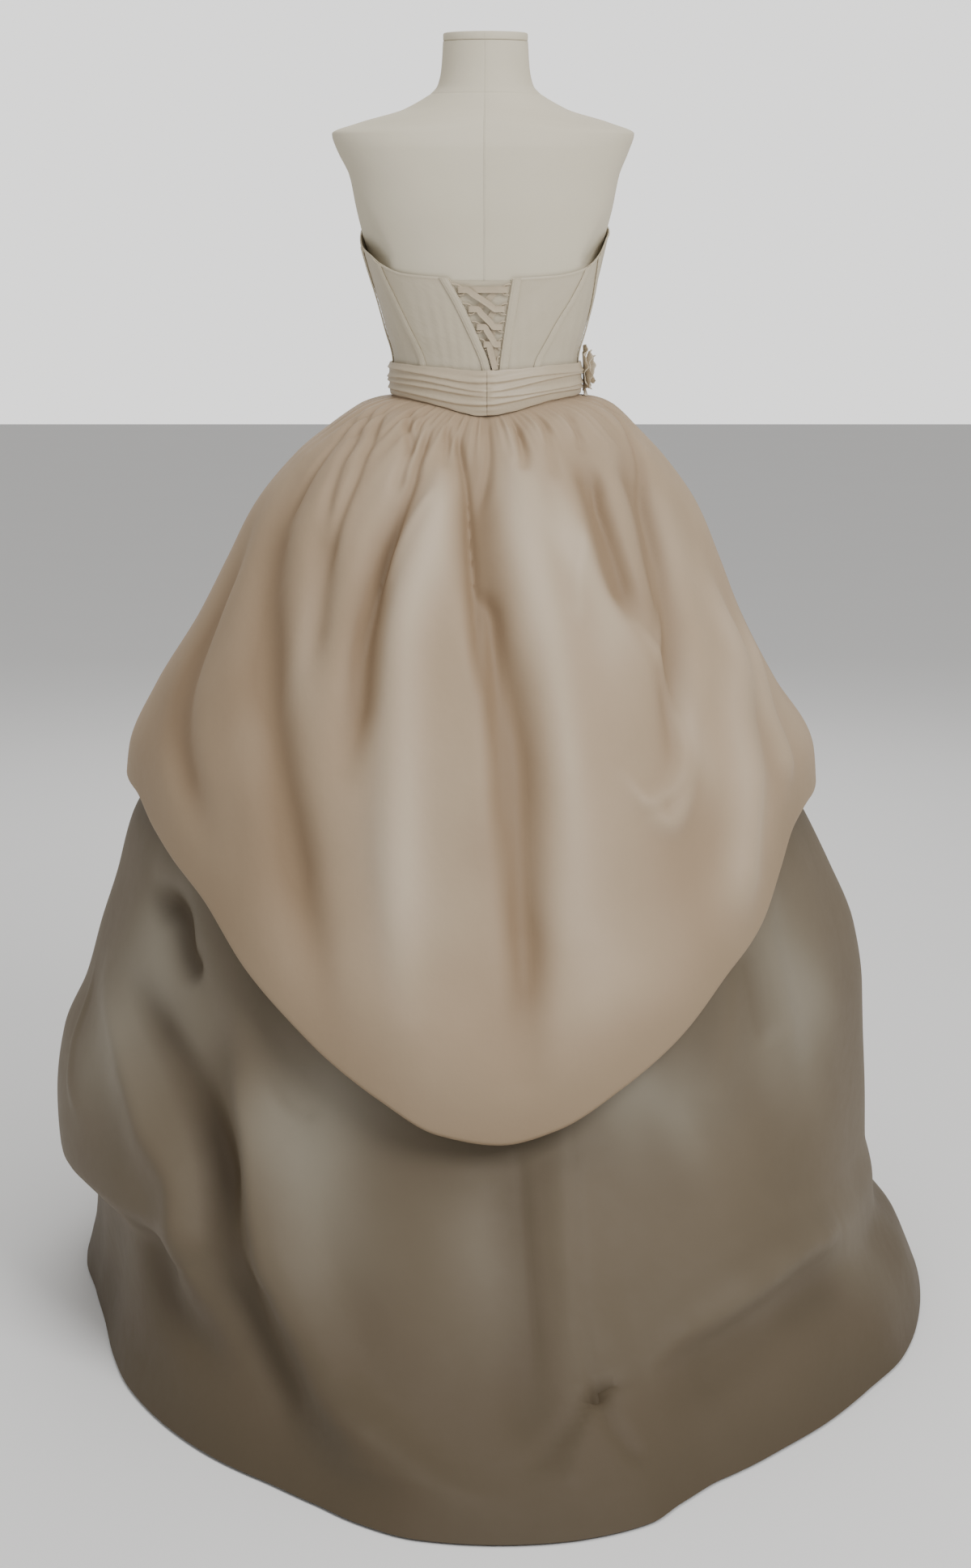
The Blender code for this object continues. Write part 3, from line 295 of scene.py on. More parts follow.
# Folds of the skirt: depth, half width, then angle and height along the fold.
SKIRT_FOLDS = {
    "left_upper_valley": (-0.014, 0.024, [(-62.5, 0.559), (-54.3, 0.538), (-50.4, 0.496), (-45.8, 0.470)]),
    "left_long_ridge": (0.020, 0.034, [(-69.7, 0.422), (-56.5, 0.350), (-49.8, 0.292), (-41.5, 0.239),
                                       (-37.4, 0.146), (-27, 0.106)]),
    "left_long_valley": (-0.014, 0.028, [(-61, 0.433), (-51, 0.392), (-43, 0.336), (-36, 0.279),
                                         (-31, 0.219)]),
    "swag_ridge": (0.028, 0.036, [(-37, 0.496), (-34.6, 0.368), (-28, 0.237), (-21.6, 0.148),
                                  (-14.3, 0.077), (-8.9, 0.050), (-0.6, 0.022)]),
    "swag_valley": (-0.014, 0.036, [(-41, 0.370), (-35, 0.213), (-28, 0.136), (-20, 0.086),
                                    (-13, 0.050)]),
    "left_low_valley": (-0.012, 0.032, [(-51.3, 0.187), (-44, 0.133), (-36, 0.099), (-27, 0.066)]),
    "centre_valley": (-0.009, 0.034, [(4.2, 0.313), (4.3, 0.243), (4.7, 0.176), (4, 0.096), (4.5, 0.061)]),
    "centre_ridge": (0.008, 0.036, [(11.9, 0.335), (9.8, 0.255), (9.2, 0.181), (7.7, 0.113)]),
    "pickup_dimple": (-0.010, 0.026, [(10.6, 0.100), (11.2, 0.092)]),
    "right_crest_ridge": (0.020, 0.034, [(14, 0.102), (26.7, 0.135), (43.1, 0.162), (54, 0.159)]),
    "right_crest_valley": (-0.010, 0.034, [(16, 0.068), (28, 0.095), (43, 0.118), (55, 0.112)]),
    "right_upper_ridge": (0.012, 0.030, [(53.9, 0.584), (47.6, 0.525), (48.1, 0.441), (50.1, 0.353)]),
    "right_upper_valley": (-0.010, 0.026, [(43.5, 0.522), (44.5, 0.450), (46.0, 0.391)]),
    "right_middle_ridge": (0.010, 0.032, [(40, 0.516), (36, 0.409), (31.7, 0.302)]),
    "front_right_fold": (0.014, 0.045, [(125, 0.550), (128, 0.300), (130, 0.060)]),
    "front_centre_fold": (0.014, 0.045, [(170, 0.550), (172, 0.300), (174, 0.060)]),
    "front_left_fold": (0.014, 0.045, [(-135, 0.550), (-138, 0.300), (-140, 0.060)]),
}

# Lacing loops: height, reach in from the edge, half height.
LOOPS = [
    (1.2737, 0.0100, 0.0066),
    (1.2505, 0.0100, 0.0066),
    (1.2290, 0.0090, 0.0064),
    (1.2080, 0.0058, 0.0062),
    (1.1880, 0.0040, 0.0050),
]

# Rosette layers: name, inner radius, outer radius, distance out, rise to the rim, ruffles, ruffle depth.
ROSETTE_LAYERS = [
    ("rosette_outer_layer", 0.0030, 0.0310, 0.1229, 0.0030, 7, 0.0022),
    ("rosette_middle_layer", 0.0030, 0.0250, 0.1246, 0.0075, 6, 0.0018),
    ("rosette_inner_layer", 0.0030, 0.0175, 0.1261, 0.0105, 5, 0.0014),
]
ROSETTE_BUD = (0.0095, 0.1265, 0.0075)
ROSETTE_Y = 0.0150
ROSETTE_Z = 1.1712

# Sharp pleats and fine folds of the overskirt: depth, half width at the first point, half width at the
# last point, then angle and height along the fold.
FINE_OVERSKIRT = {
    "left_pleat_1": (-0.0050, 0.005, 0.009, [(-72.7, 1.119), (-64.8, 1.088), (-61.8, 1.053), (-60.0, 1.000)]),
    "left_pleat_2": (-0.0060, 0.005, 0.010, [(-69.6, 1.132), (-53.9, 1.080), (-42.9, 1.005)]),
    "left_pleat_3": (-0.0065, 0.005, 0.010, [(-62.4, 1.133), (-49.4, 1.095), (-41.9, 1.054), (-39.0, 0.997),
                                            (-36.8, 0.950)]),
    "left_pleat_4": (-0.0070, 0.004, 0.009, [(-48.7, 1.134), (-30.4, 1.083), (-26.4, 1.042)]),
    "left_pleat_5": (-0.0090, 0.004, 0.011, [(-31.5, 1.125), (-25.7, 1.083), (-22.5, 1.047), (-23.4, 0.982),
                                            (-23.9, 0.908), (-22.8, 0.825)]),
    "left_pleat_6": (-0.0080, 0.004, 0.009, [(-17.4, 1.120), (-6.6, 1.057), (-3.7, 0.985), (-2.2, 0.912),
                                            (-0.9, 0.839)]),
    "left_pleat_7": (-0.0040, 0.003, 0.006, [(-39.0, 1.130), (-33.0, 1.104), (-30.0, 1.080)]),
    "left_pleat_8": (-0.0040, 0.003, 0.006, [(-24.0, 1.122), (-17.0, 1.092), (-14.0, 1.066)]),
    "middle_fold": (-0.0060, 0.008, 0.014, [(-2.5, 0.948), (1.4, 0.912), (1.5, 0.794), (2.5, 0.640)]),
    "centre_slit": (-0.0060, 0.003, 0.008, [(0.6, 1.121), (1.4, 1.084), (-1.5, 1.030)]),
    "right_pleat_1": (-0.0080, 0.004, 0.009, [(18.1, 1.119), (15.6, 1.084), (11.5, 1.057)]),
    "right_pleat_2": (-0.0045, 0.004, 0.010, [(33.2, 1.122), (25.8, 1.083), (21.2, 1.052)]),
    "right_pleat_3": (-0.0050, 0.004, 0.007, [(47.9, 1.128), (43.3, 1.103), (39.0, 1.082)]),
    "right_pleat_4": (-0.0070, 0.005, 0.011, [(38.4, 1.063), (34.3, 1.026), (32.9, 0.970), (32.4, 0.922)]),
    "right_pleat_5": (-0.0070, 0.005, 0.011, [(79.0, 1.128), (64.5, 1.077), (51.4, 1.021), (46.6, 0.964),
                                             (39.8, 0.899)]),
    "left_light": (0.0045, 0.006, 0.010, [(-15.2, 1.039), (-19.1, 0.997), (-22.1, 0.927)]),
    "right_light": (0.0050, 0.006, 0.010, [(46.4, 0.969), (41.7, 0.917), (33.7, 0.855)]),
    "right_shine": (0.0045, 0.010, 0.012, [(25.2, 1.005), (19.5, 0.946), (17.8, 0.900)]),
    "loop_side": (0.0060, 0.008, 0.010, [(31.4, 0.896), (35.0, 0.840), (34.0, 0.770), (29.0, 0.715),
                                        (24.5, 0.705), (21.5, 0.735)]),
}

# Sharp folds of the skirt, in the same columns.
FINE_SKIRT = {
    "swag_crest": (0.0070, 0.010, 0.016, [(-35.3, 0.364), (-29.0, 0.230), (-22.8, 0.137), (-14.9, 0.067),
                                          (-9.0, 0.045)]),
    "swag_under": (-0.0060, 0.014, 0.018, [(-37.5, 0.330), (-31.5, 0.205), (-25.0, 0.112), (-17.0, 0.054)]),
    "left_upper_valley": (-0.0080, 0.012, 0.012, [(-62.5, 0.559), (-54.3, 0.538), (-50.4, 0.496),
                                                  (-45.8, 0.470)]),
    "left_long_ridge": (0.0035, 0.014, 0.018, [(-69.7, 0.422), (-56.5, 0.350), (-49.8, 0.292),
                                               (-41.5, 0.239), (-37.4, 0.146)]),
    "left_strip": (0.0040, 0.008, 0.010, [(-80.0, 0.420), (-76.0, 0.350), (-72.0, 0.300), (-66.2, 0.272)]),
    "band_left": (-0.0016, 0.006, 0.008, [(4.5, 0.345), (4.9, 0.250), (4.9, 0.177), (5.0, 0.112)]),
    "band_right": (-0.0016, 0.006, 0.008, [(12.0, 0.345), (11.3, 0.263), (10.5, 0.196), (10.3, 0.140)]),
    "pick_up": (-0.0070, 0.010, 0.014, [(10.6, 0.100), (10.9, 0.088)]),
    "pick_left": (-0.0050, 0.006, 0.014, [(10.7, 0.095), (8.5, 0.085), (6.3, 0.070), (4.0, 0.050)]),
    "pick_left_light": (0.0035, 0.005, 0.012, [(11.0, 0.088), (9.0, 0.070), (7.5, 0.050), (6.5, 0.036)]),
    "pick_right": (-0.0045, 0.006, 0.014, [(10.8, 0.094), (11.0, 0.078), (12.0, 0.061), (13.6, 0.040)]),
    "pick_above": (-0.0025, 0.006, 0.008, [(10.6, 0.097), (10.4, 0.120), (10.1, 0.150)]),
    "pick_across": (-0.0030, 0.006, 0.010, [(11.1, 0.097), (13.5, 0.099), (17.0, 0.101)]),
    "right_crest": (0.0040, 0.010, 0.014, [(14.4, 0.099), (28.3, 0.124), (44.7, 0.157), (53.4, 0.156)]),
    "crease": (-0.0035, 0.007, 0.008, [(-30.4, 0.371), (-28.6, 0.347), (-26.2, 0.339), (-23.8, 0.346)]),
}

# Painted highlights of the skirt: lighter patches painted on the satin where it catches the light: angle, height,
# half width in degrees, half height, strength.
SKIRT_PAINTED_HIGHLIGHTS = [
    (-24.0, 0.340, 8.0, 0.080, 0.85),
    (-20.0, 0.240, 6.0, 0.080, 0.45),
    (0.0, 0.200, 5.0, 0.060, 0.30),
    (23.4, 0.360, 10.0, 0.055, 0.80),
    (52.0, 0.450, 9.0, 0.110, 0.80),
    (-57.0, 0.500, 10.0, 0.080, 0.95),
    (-62.0, 0.360, 10.0, 0.080, 0.75),
    (-45.0, 0.420, 7.0, 0.060, 0.30),
    (60.0, 0.110, 12.0, 0.070, 0.60),
    (34.0, 0.130, 12.0, 0.030, 0.30),
]
# Painted highlights of the overskirt: lighter patches where it catches the light, in the same columns.
OVERSKIRT_PAINTED_HIGHLIGHTS = [
    (21.0, 0.985, 6.0, 0.045, 0.90),
    (24.0, 0.900, 5.0, 0.050, 0.50),
    (38.0, 0.800, 3.5, 0.080, 0.55),
    (-13.0, 0.980, 5.0, 0.080, 0.50),
    (9.0, 0.980, 5.0, 0.120, 0.40),
    (-12.0, 0.620, 7.0, 0.110, 0.45),
    (12.0, 0.560, 6.0, 0.110, 0.40),
    (50.0, 0.990, 9.0, 0.080, 0.45),
    (-36.0, 0.860, 4.0, 0.090, 0.40),
    (-30.0, 1.060, 6.0, 0.050, 0.35),
]
# Painted shade of the overskirt: darker patches where its folds and its left and lower side lie in shade, in the
# same columns.
OVERSKIRT_PAINTED_SHADE = [
    (2.0, 0.820, 3.5, 0.160, 0.55),
    (4.0, 0.560, 3.0, 0.120, 0.35),
    (-24.0, 0.900, 3.0, 0.110, 0.55),
    (-46.0, 0.840, 8.0, 0.100, 0.45),
    (-66.0, 0.800, 14.0, 0.140, 0.65),
    (-34.0, 0.640, 9.0, 0.120, 0.45),
    (34.0, 0.940, 4.0, 0.070, 0.30),
    (30.0, 0.640, 10.0, 0.100, 0.40),
    (56.0, 0.740, 8.0, 0.080, 0.35),
]

# Corset panels: name, left seam column, right seam column, columns of the grid, flat width and length.
CORSET_PANELS = [
    ("corset_side_front_left", 0, 1, 40, (0.130, 0.240)),
    ("corset_side_back_left", 1, 2, 34, (0.070, 0.195)),
    ("corset_back_left", 2, 3, 40, (0.100, 0.170)),
    ("corset_back_right", 4, 5, 40, (0.085, 0.170)),
    ("corset_side_back_right", 5, 6, 34, (0.070, 0.195)),
    ("corset_side_front_right", 6, 7, 40, (0.130, 0.240)),
    ("corset_front", 7, 0, 50, (0.150, 0.245)),
]

# Boning channels: name, seam column, side that the channel lies on.
CORSET_CHANNELS = [
    ("channel_lacing_left", 3, -1),
    ("channel_lacing_right", 4, 1),
    ("channel_back_left", 2, 0),
    ("channel_back_right", 5, 0),
    ("channel_side_left", 1, 0),
    ("channel_side_right", 6, 0),
]

# Pleats of the sash: level from -1 at the lower edge to 1 at the upper, lean across the back, wander.
SASH_PLEATS = [
    (-0.62, 0.06, 0.05),
    (-0.22, -0.10, 0.06),
    (0.18, 0.08, 0.07),
    (0.56, -0.05, 0.05),
]

# Cuts of the two skirts: name, first angle, last angle, columns, flat width and length, flat area.
OVERSKIRT_CUTS = [
    ("overskirt_back", -90.0, 90.0, 290, (1.60, 0.98), 1.08),
    ("overskirt_front", 90.0, 270.0, 150, (1.50, 0.80), 0.88),
]
SKIRT_CUTS = [
    ("skirt_back", -90.0, 90.0, 270, (2.20, 1.40), 2.00),
    ("skirt_front", 90.0, 270.0, 130, (1.70, 1.20), 1.50),
]

# Soft lights: name, place, turn in degrees, size, power in watts.
LIGHTS = [
    ("key_light", (2.0, -3.0, 2.9), (48.0, 0.0, 34.0), 1.8, 105.0),
    ("fill_light", (-2.6, -3.2, 1.7), (68.0, 0.0, -40.0), 2.6, 12.0),
    ("top_light", (0.0, -0.6, 3.6), (10.0, 0.0, 0.0), 2.0, 30.0),
    ("back_light", (0.0, 3.0, 2.6), (-52.0, 0.0, 0.0), 2.4, 35.0),
]
WORLD_LIGHT = 0.50
WORLD_SEEN = 1.60
CAMERA_PLACE = (0.0, -3.6, 1.388)
CAMERA_PITCH = 11.7
CAMERA_FOCUS = 3525.0


def smooth_read(table, at):
    """Columns of a table at values of its first column, on smooth curves that stay between the rows."""
    table = np.array(sorted(table), float)
    knots = table[:, 0]
    values = table[:, 1:]
    steps = np.diff(knots)[:, None]
    secants = np.diff(values, axis=0) / steps
    slopes = np.zeros_like(values)
    slopes[0] = secants[0]
    slopes[-1] = secants[-1]
    product = secants[:-1] * secants[1:]
    total = secants[:-1] + secants[1:]
    slopes[1:-1] = np.where(product > 0, 2 * product / np.where(product > 0, total, 1), 0)
    at = np.clip(np.asarray(at, float), knots[0], knots[-1])
    row = np.clip(np.searchsorted(knots, at, side="right") - 1, 0, len(knots) - 2)
    step = steps[row]
    part = (at - knots[row])[..., None] / step
    start = values[row] * (1 + 2 * part) * (1 - part) ** 2
    end = values[row + 1] * part ** 2 * (3 - 2 * part)
    rise = step * slopes[row] * part * (1 - part) ** 2
    fall = step * slopes[row + 1] * part ** 2 * (1 - part)
    return start + end + rise - fall


def wrapped(angle):
    """Angle in degrees between -180 and 180."""
    return (np.degrees(angle) + 180.0) % 360.0 - 180.0


def oval_radius(angle, left, right, back, front, power):
    """Distance from the axis to an oval with its own half width on each of the four sides."""
    side = np.where(np.sin(angle) > 0, right, left)
    deep = np.where(np.cos(angle) > 0, back, front)
    across = np.abs(np.sin(angle)) / side
    along = np.abs(np.cos(angle)) / deep
    return (across ** power + along ** power) ** (-1.0 / power)


def polar(angle, radius, height):
    """Points at an angle from the centre back, a radius from the axis and a height."""
    radius, angle, height = np.broadcast_arrays(radius, angle, height)
    return np.stack([radius * np.sin(angle), -radius * np.cos(angle), height], axis=-1)


def form_radius(angle, height, offset=0.0):
    """Radius of the dress form's smooth body, let out by an offset."""
    ring = smooth_read(FORM, height)
    return oval_radius(angle, ring[..., 0] + offset, ring[..., 1] + offset, ring[..., 2] + offset,
                       ring[..., 3] + offset, ring[..., 4])


def waist_dip(angle, height):
    """How far the waistline hangs lower at the centre back, fading out down the skirt."""
    near_back = np.exp(-(wrapped(angle) / 42.0) ** 2)
    fade = np.clip((height - 0.98) / 0.12, 0.0, 1.0)
    return SASH_DIP * near_back * fade


def gather_depth(angle, height):
    """Outward depth of the gathers below the sash, deepest just under it and fading down."""
    degrees = wrapped(angle)
    drop = FLARE_HEIGHT - waist_dip(angle, OVERSKIRT_TOP) - height
    depth = np.zeros(np.broadcast(degrees, height).shape)
    for first, last, count, full, reach in GATHERS:
        turned = np.where(degrees < first - 1e-9, degrees + 360.0, degrees)
        inside = (turned >= first) & (turned <= last)
        wave = 0.5 - 0.5 * np.cos(2 * np.pi * count * (turned - first) / (last - first))
        rise = np.clip(drop / 0.016, 0.0, 1.0)
        fall = np.clip(1.0 - drop / reach, 0.0, 1.0) ** 1.5
        depth = np.where(inside, full * wave * rise * fall, depth)
    return depth


def fold_depth(points, folds, radius_at):
    """Depth of all folds at points: each is a rounded ridge or valley along a smooth path."""
    flat = points.reshape(-1, 3)
    total = np.zeros(len(flat))
    for depth, width, path in folds.values():
        keys = np.linspace(0.0, 1.0, len(path))
        table = [(key, *place) for key, place in zip(keys, path)]
        along = np.linspace(0.0, 1.0, 24)
        places = smooth_read(table, along)
        angle = np.radians(places[:, 0])
        line = polar(angle, radius_at(angle, places[:, 1]), places[:, 1])
        start = line[:-1]
        step = line[1:] - line[:-1]
        away = flat[:, None, :] - start[None]
        part = np.clip((away * step).sum(2) / (step ** 2).sum(1), 0.0, 1.0)
        distance = np.linalg.norm(away - part[..., None] * step, axis=2)
        nearest = distance.argmin(1)
        rows = np.arange(len(flat))
        place = (nearest + part[rows, nearest]) / len(step)
        fade = np.clip(4.0 * np.minimum(place + 0.05, 1.05 - place), 0.0, 1.0)
        total += depth * fade * np.exp(-(distance[rows, nearest] / width) ** 2)
    return total.reshape(points.shape[:-1])


def facing(surface, across, down):
    """Unit vectors that face out of a surface, across it is counted round and down it is counted down."""
    small = 1e-4
    down = np.maximum(down, small)
    round_step = surface(across + small, down) - surface(across - small, down)
    down_step = surface(across, down + small) - surface(across, down - small)
    out = np.cross(down_step, round_step)
    return out / np.linalg.norm(out, axis=-1, keepdims=True)


def overskirt_radius(angle, height):
    """Radius of the overskirt without its folds."""
    ring = smooth_read(OVERSKIRT, height + waist_dip(angle, height))
    return oval_radius(angle, ring[..., 0], ring[..., 1], ring[..., 2], ring[..., 3], 2.0)


def overskirt_plain(angle, down):
    """Overskirt without its folds: down runs from 0 at the waist to 1 at the edge, then turns under to 2."""
    edge = smooth_read(LOBE_EDGE, wrapped(angle))[..., 0]
    start = FLARE_HEIGHT - waist_dip(angle, OVERSKIRT_TOP)
    band = np.clip(down / FLARE_SHARE, 0.0, 1.0)
    share = np.clip((down - FLARE_SHARE) / (1.0 - FLARE_SHARE), 0.0, 1.0)
    height = OVERSKIRT_TOP - (OVERSKIRT_TOP - start) * band - (start - edge) * share
    radius = overskirt_radius(angle, height)
    turn = np.pi * np.clip((down - 1.0) / 0.6, 0.0, 1.0)
    up = LOBE_FACING * np.clip((down - 1.6) / 0.4, 0.0, 1.0)
    radius = radius - LOBE_ROLL * (1.0 - np.cos(turn))
    height = height - LOBE_ROLL * np.sin(turn) + up
    return polar(angle, radius, height)


def skirt_radius(angle, height):
    """Radius of the skirt without its folds."""
    ring = smooth_read(SKIRT, height + waist_dip(angle, height))
    radius = oval_radius(angle, ring[..., 0], ring[..., 1], ring[..., 2], ring[..., 3], 2.0)
    scale = smooth_read(HEM_SHAPE, wrapped(angle))[..., 0]
    share = np.clip(1.0 - height / HEM_SHAPE_HEIGHT, 0.0, 1.0)
    share = share * share * (3.0 - 2.0 * share)
    return radius * (1.0 + (scale - 1.0) * share)


def skirt_plain(angle, drop):
    """Skirt without its folds, counted down from the waist by height."""
    lowered = np.clip(drop / 0.0105, 0.0, 1.0) * np.clip((0.16 - drop) / 0.12, 0.0, 1.0)
    height = SKIRT_TOP - drop - lowered * waist_dip(angle, OVERSKIRT_TOP)
    return polar(angle, skirt_radius(angle, height), height)


def sash_middle(angle):
    """Height of the middle of the sash, lower at the centre back."""
    near_back = np.exp(-(wrapped(angle) / 42.0) ** 2)
    return 1.1630 - 0.0140 * near_back


def sash_half(angle):
    """Half the height of the sash, a little more at the centre back."""
    near_back = np.exp(-(wrapped(angle) / 42.0) ** 2)
    return 0.0195 + 0.0079 * near_back


def fine_depth(points, folds, radius_at):
    """Depth of fine folds at points: depth times a bell curve across a smooth path, whose half width
    changes evenly along the path, and which fades out at both ends."""
    flat = points.reshape(-1, 3)
    total = np.zeros(len(flat))
    for depth, first, last, path in folds.values():
        keys = np.linspace(0.0, 1.0, len(path))
        table = [(key, *place) for key, place in zip(keys, path)]
        places = smooth_read(table, np.linspace(0.0, 1.0, 18))
        angle = np.radians(places[:, 0])
        line = polar(angle, radius_at(angle, places[:, 1]), places[:, 1])
        low = line.min(axis=0) - 3.0 * max(first, last)
        high = line.max(axis=0) + 3.0 * max(first, last)
        near = np.flatnonzero(((flat > low) & (flat < high)).all(axis=1))
        start = line[:-1]
        step = line[1:] - line[:-1]
        away = flat[near, None, :] - start[None]
        part = np.clip((away * step).sum(2) / (step ** 2).sum(1), 0.0, 1.0)
        distance = np.linalg.norm(away - part[..., None] * step, axis=2)
        nearest = distance.argmin(1)
        rows = np.arange(len(near))
        place = (nearest + part[rows, nearest]) / len(step)
        fade = np.clip(5.0 * np.minimum(place + 0.04, 1.04 - place), 0.0, 1.0)
        width = first + (last - first) * place
        total[near] += depth * fade * np.exp(-(distance[rows, nearest] / width) ** 2)
    return total.reshape(points.shape[:-1])


def grid_normals(points):
    """Unit vectors square to a grid of points: the cross product of its steps down and across."""
    down = np.gradient(points, axis=0)
    across = np.gradient(points, axis=1)
    out = np.cross(down, across)
    return out / np.maximum(np.linalg.norm(out, axis=-1, keepdims=True), 1e-12)


def grid_lengths(points):
    """Lengths in metres across and down a grid, summed from its first row and column."""
    down = np.linalg.norm(np.diff(points, axis=0), axis=-1)
    across = np.linalg.norm(np.diff(points, axis=1), axis=-1)
    down = np.concatenate([np.zeros((1, points.shape[1])), np.cumsum(down, axis=0)])
    across = np.concatenate([np.zeros((points.shape[0], 1)), np.cumsum(across, axis=1)], axis=1)
    across = across - across[:, -1:] * 0.5
    return np.stack([across, down], axis=-1)


def build_mesh(name, points, faces, material, lengths=None, values=None, sharp=55.0):
    """Mesh from an array of points and arrays of faces, each array with one count of corners."""
    mesh = bpy.data.meshes.new(name)
    corners = np.concatenate([np.asarray(part).ravel() for part in faces]).astype(np.int32)
    totals = np.concatenate([np.full(len(part), np.shape(part)[1]) for part in faces])
    starts = np.concatenate([[0], np.cumsum(totals)[:-1]]).astype(np.int32)
    mesh.vertices.add(len(points))
    mesh.vertices.foreach_set("co", np.asarray(points, np.float32).ravel())
    mesh.loops.add(len(corners))
    mesh.loops.foreach_set("vertex_index", corners)
    mesh.polygons.add(len(totals))
    mesh.polygons.foreach_set("loop_start", starts)
    mesh.update(calc_edges=True)
    mesh.validate()
    if lengths is not None:
        layer = mesh.uv_layers.new(name="cloth")
        layer.data.foreach_set("uv", lengths[corners].astype(np.float32).ravel())
    for label, array in (values or {}).items():
        attribute = mesh.attributes.new(name=label, type="FLOAT", domain="POINT")
        attribute.data.foreach_set("value", np.asarray(array, np.float32).ravel())
    mesh.shade_smooth()
    mesh.set_sharp_from_angle(angle=math.radians(sharp))
    mesh.materials.append(material)
    item = bpy.data.objects.new(name, mesh)
    bpy.context.scene.collection.objects.link(item)
    return item


def grid_faces(index):
    """Four-cornered faces of a grid of point numbers."""
    corners = [index[:-1, :-1], index[1:, :-1], index[1:, 1:], index[:-1, 1:]]
    return np.stack(corners, axis=-1).reshape(-1, 4)


def cloth_wall(name, outer, thickness, material, values=None, least=None):
    """Closed sheet: the outer grid, the same grid moved inwards by the thickness, and four narrow edges."""
    outer = np.array(outer, float)
    inner = outer - thickness * grid_normals(outer)
    if least is not None:
        outer[..., 2] = np.maximum(outer[..., 2], least)
        inner[..., 2] = np.maximum(inner[..., 2], least)
    rows, columns = outer.shape[:2]
    index = np.arange(rows * columns).reshape(rows, columns)
    back = index + rows * columns

    def rim(edge, other):
        return np.stack([edge[:-1], edge[1:], other[1:], other[:-1]], axis=-1)

    faces = [grid_faces(index), grid_faces(back)[:, ::-1], rim(index[0], back[0]),
             rim(index[-1, ::-1], back[-1, ::-1]), rim(index[::-1, 0], back[::-1, 0]),
             rim(index[:, -1], back[:, -1])]
    lengths = np.tile(grid_lengths(outer).reshape(-1, 2), (2, 1))
    doubled = {label: np.tile(np.ravel(array), 2) for label, array in (values or {}).items()}
    points = np.concatenate([outer.reshape(-1, 3), inner.reshape(-1, 3)])
    return build_mesh(name, points, faces, material, lengths, doubled)


def ring_solid(name, rings, material, values=None, sharp=55.0):
    """Closed solid through rings of points from the lowest up, with a flat face at each end."""
    rings = np.asarray(rings, float)
    count, around = rings.shape[:2]
    index = np.arange(count * around).reshape(count, around)
    following = np.roll(index, -1, axis=1)
    quads = np.stack([index[:-1], following[:-1], following[1:], index[1:]], axis=-1).reshape(-1, 4)
    lengths = grid_lengths(rings).reshape(-1, 2)
    faces = [quads, index[:1, ::-1], index[-1:]]
    return build_mesh(name, rings.reshape(-1, 3), faces, material, lengths, values, sharp)


def tube(name, line, radius, sides, material):
    """Round tube: rings of a radius that may change along the line, square to it, closed at both ends."""
    tangent = np.gradient(line, axis=0)
    tangent /= np.linalg.norm(tangent, axis=1, keepdims=True)
    first = np.cross(tangent, np.array([0.0, 1.0, 0.0]))
    first /= np.linalg.norm(first, axis=1, keepdims=True)
    second = np.cross(tangent, first)
    turn = np.linspace(0.0, 2 * np.pi, sides, endpoint=False)
    radius = np.broadcast_to(radius, (len(line),))[:, None, None]
    rings = line[:, None] + radius * (np.cos(turn)[None, :, None] * first[:, None]
                                      + np.sin(turn)[None, :, None] * second[:, None])
    return ring_solid(name, rings, material)


def finish_piece(item, nodes):
    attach(item, "root")
    if nodes:
        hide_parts(*nodes)
    return item


class Shading:
    """Short way to place shader nodes in a material and join them."""

    def __init__(self, name):
        self.material = bpy.data.materials.new(name)
        self.material.use_nodes = True
        self.tree = self.material.node_tree
        self.shader = self.tree.nodes["Principled BSDF"]

    def add(self, kind, settings=None, **sockets):
        """Node of a kind: settings are its own properties, sockets are numbers or joins by socket name."""
        item = self.tree.nodes.new("ShaderNode" + kind)
        for key, value in (settings or {}).items():
            setattr(item, key, value)
        for key, value in sockets.items():
            self.put(item, key.replace("_", " "), value)
        return item

    def put(self, item, key, value):
        """Give a socket a number, a colour or another node's output."""
        socket = item.inputs[int(key)] if key.isdigit() else item.inputs[key]
        if isinstance(value, bpy.types.NodeSocket):
            self.tree.links.new(value, socket)
        else:
            socket.default_value = value

    def blend(self, share, first, second, kind="MIX"):
        """Colour between two colours, by a share."""
        item = self.tree.nodes.new("ShaderNodeMix")
        item.data_type = "RGBA"
        item.blend_type = kind
        for place, value in ((0, share), (6, first), (7, second)):
            if isinstance(value, bpy.types.NodeSocket):
                self.tree.links.new(value, item.inputs[place])
            elif place:
                item.inputs[place].default_value = (*value[:3], 1.0)
            else:
                item.inputs[place].default_value = value
        return item.outputs[2]

    def math(self, kind, first, second=0.0):
        """Arithmetic on two numbers or outputs."""
        item = self.tree.nodes.new("ShaderNodeMath")
        item.operation = kind
        for place, value in ((0, first), (1, second)):
            if isinstance(value, bpy.types.NodeSocket):
                self.tree.links.new(value, item.inputs[place])
            else:
                item.inputs[place].default_value = value
        return item.outputs[0]


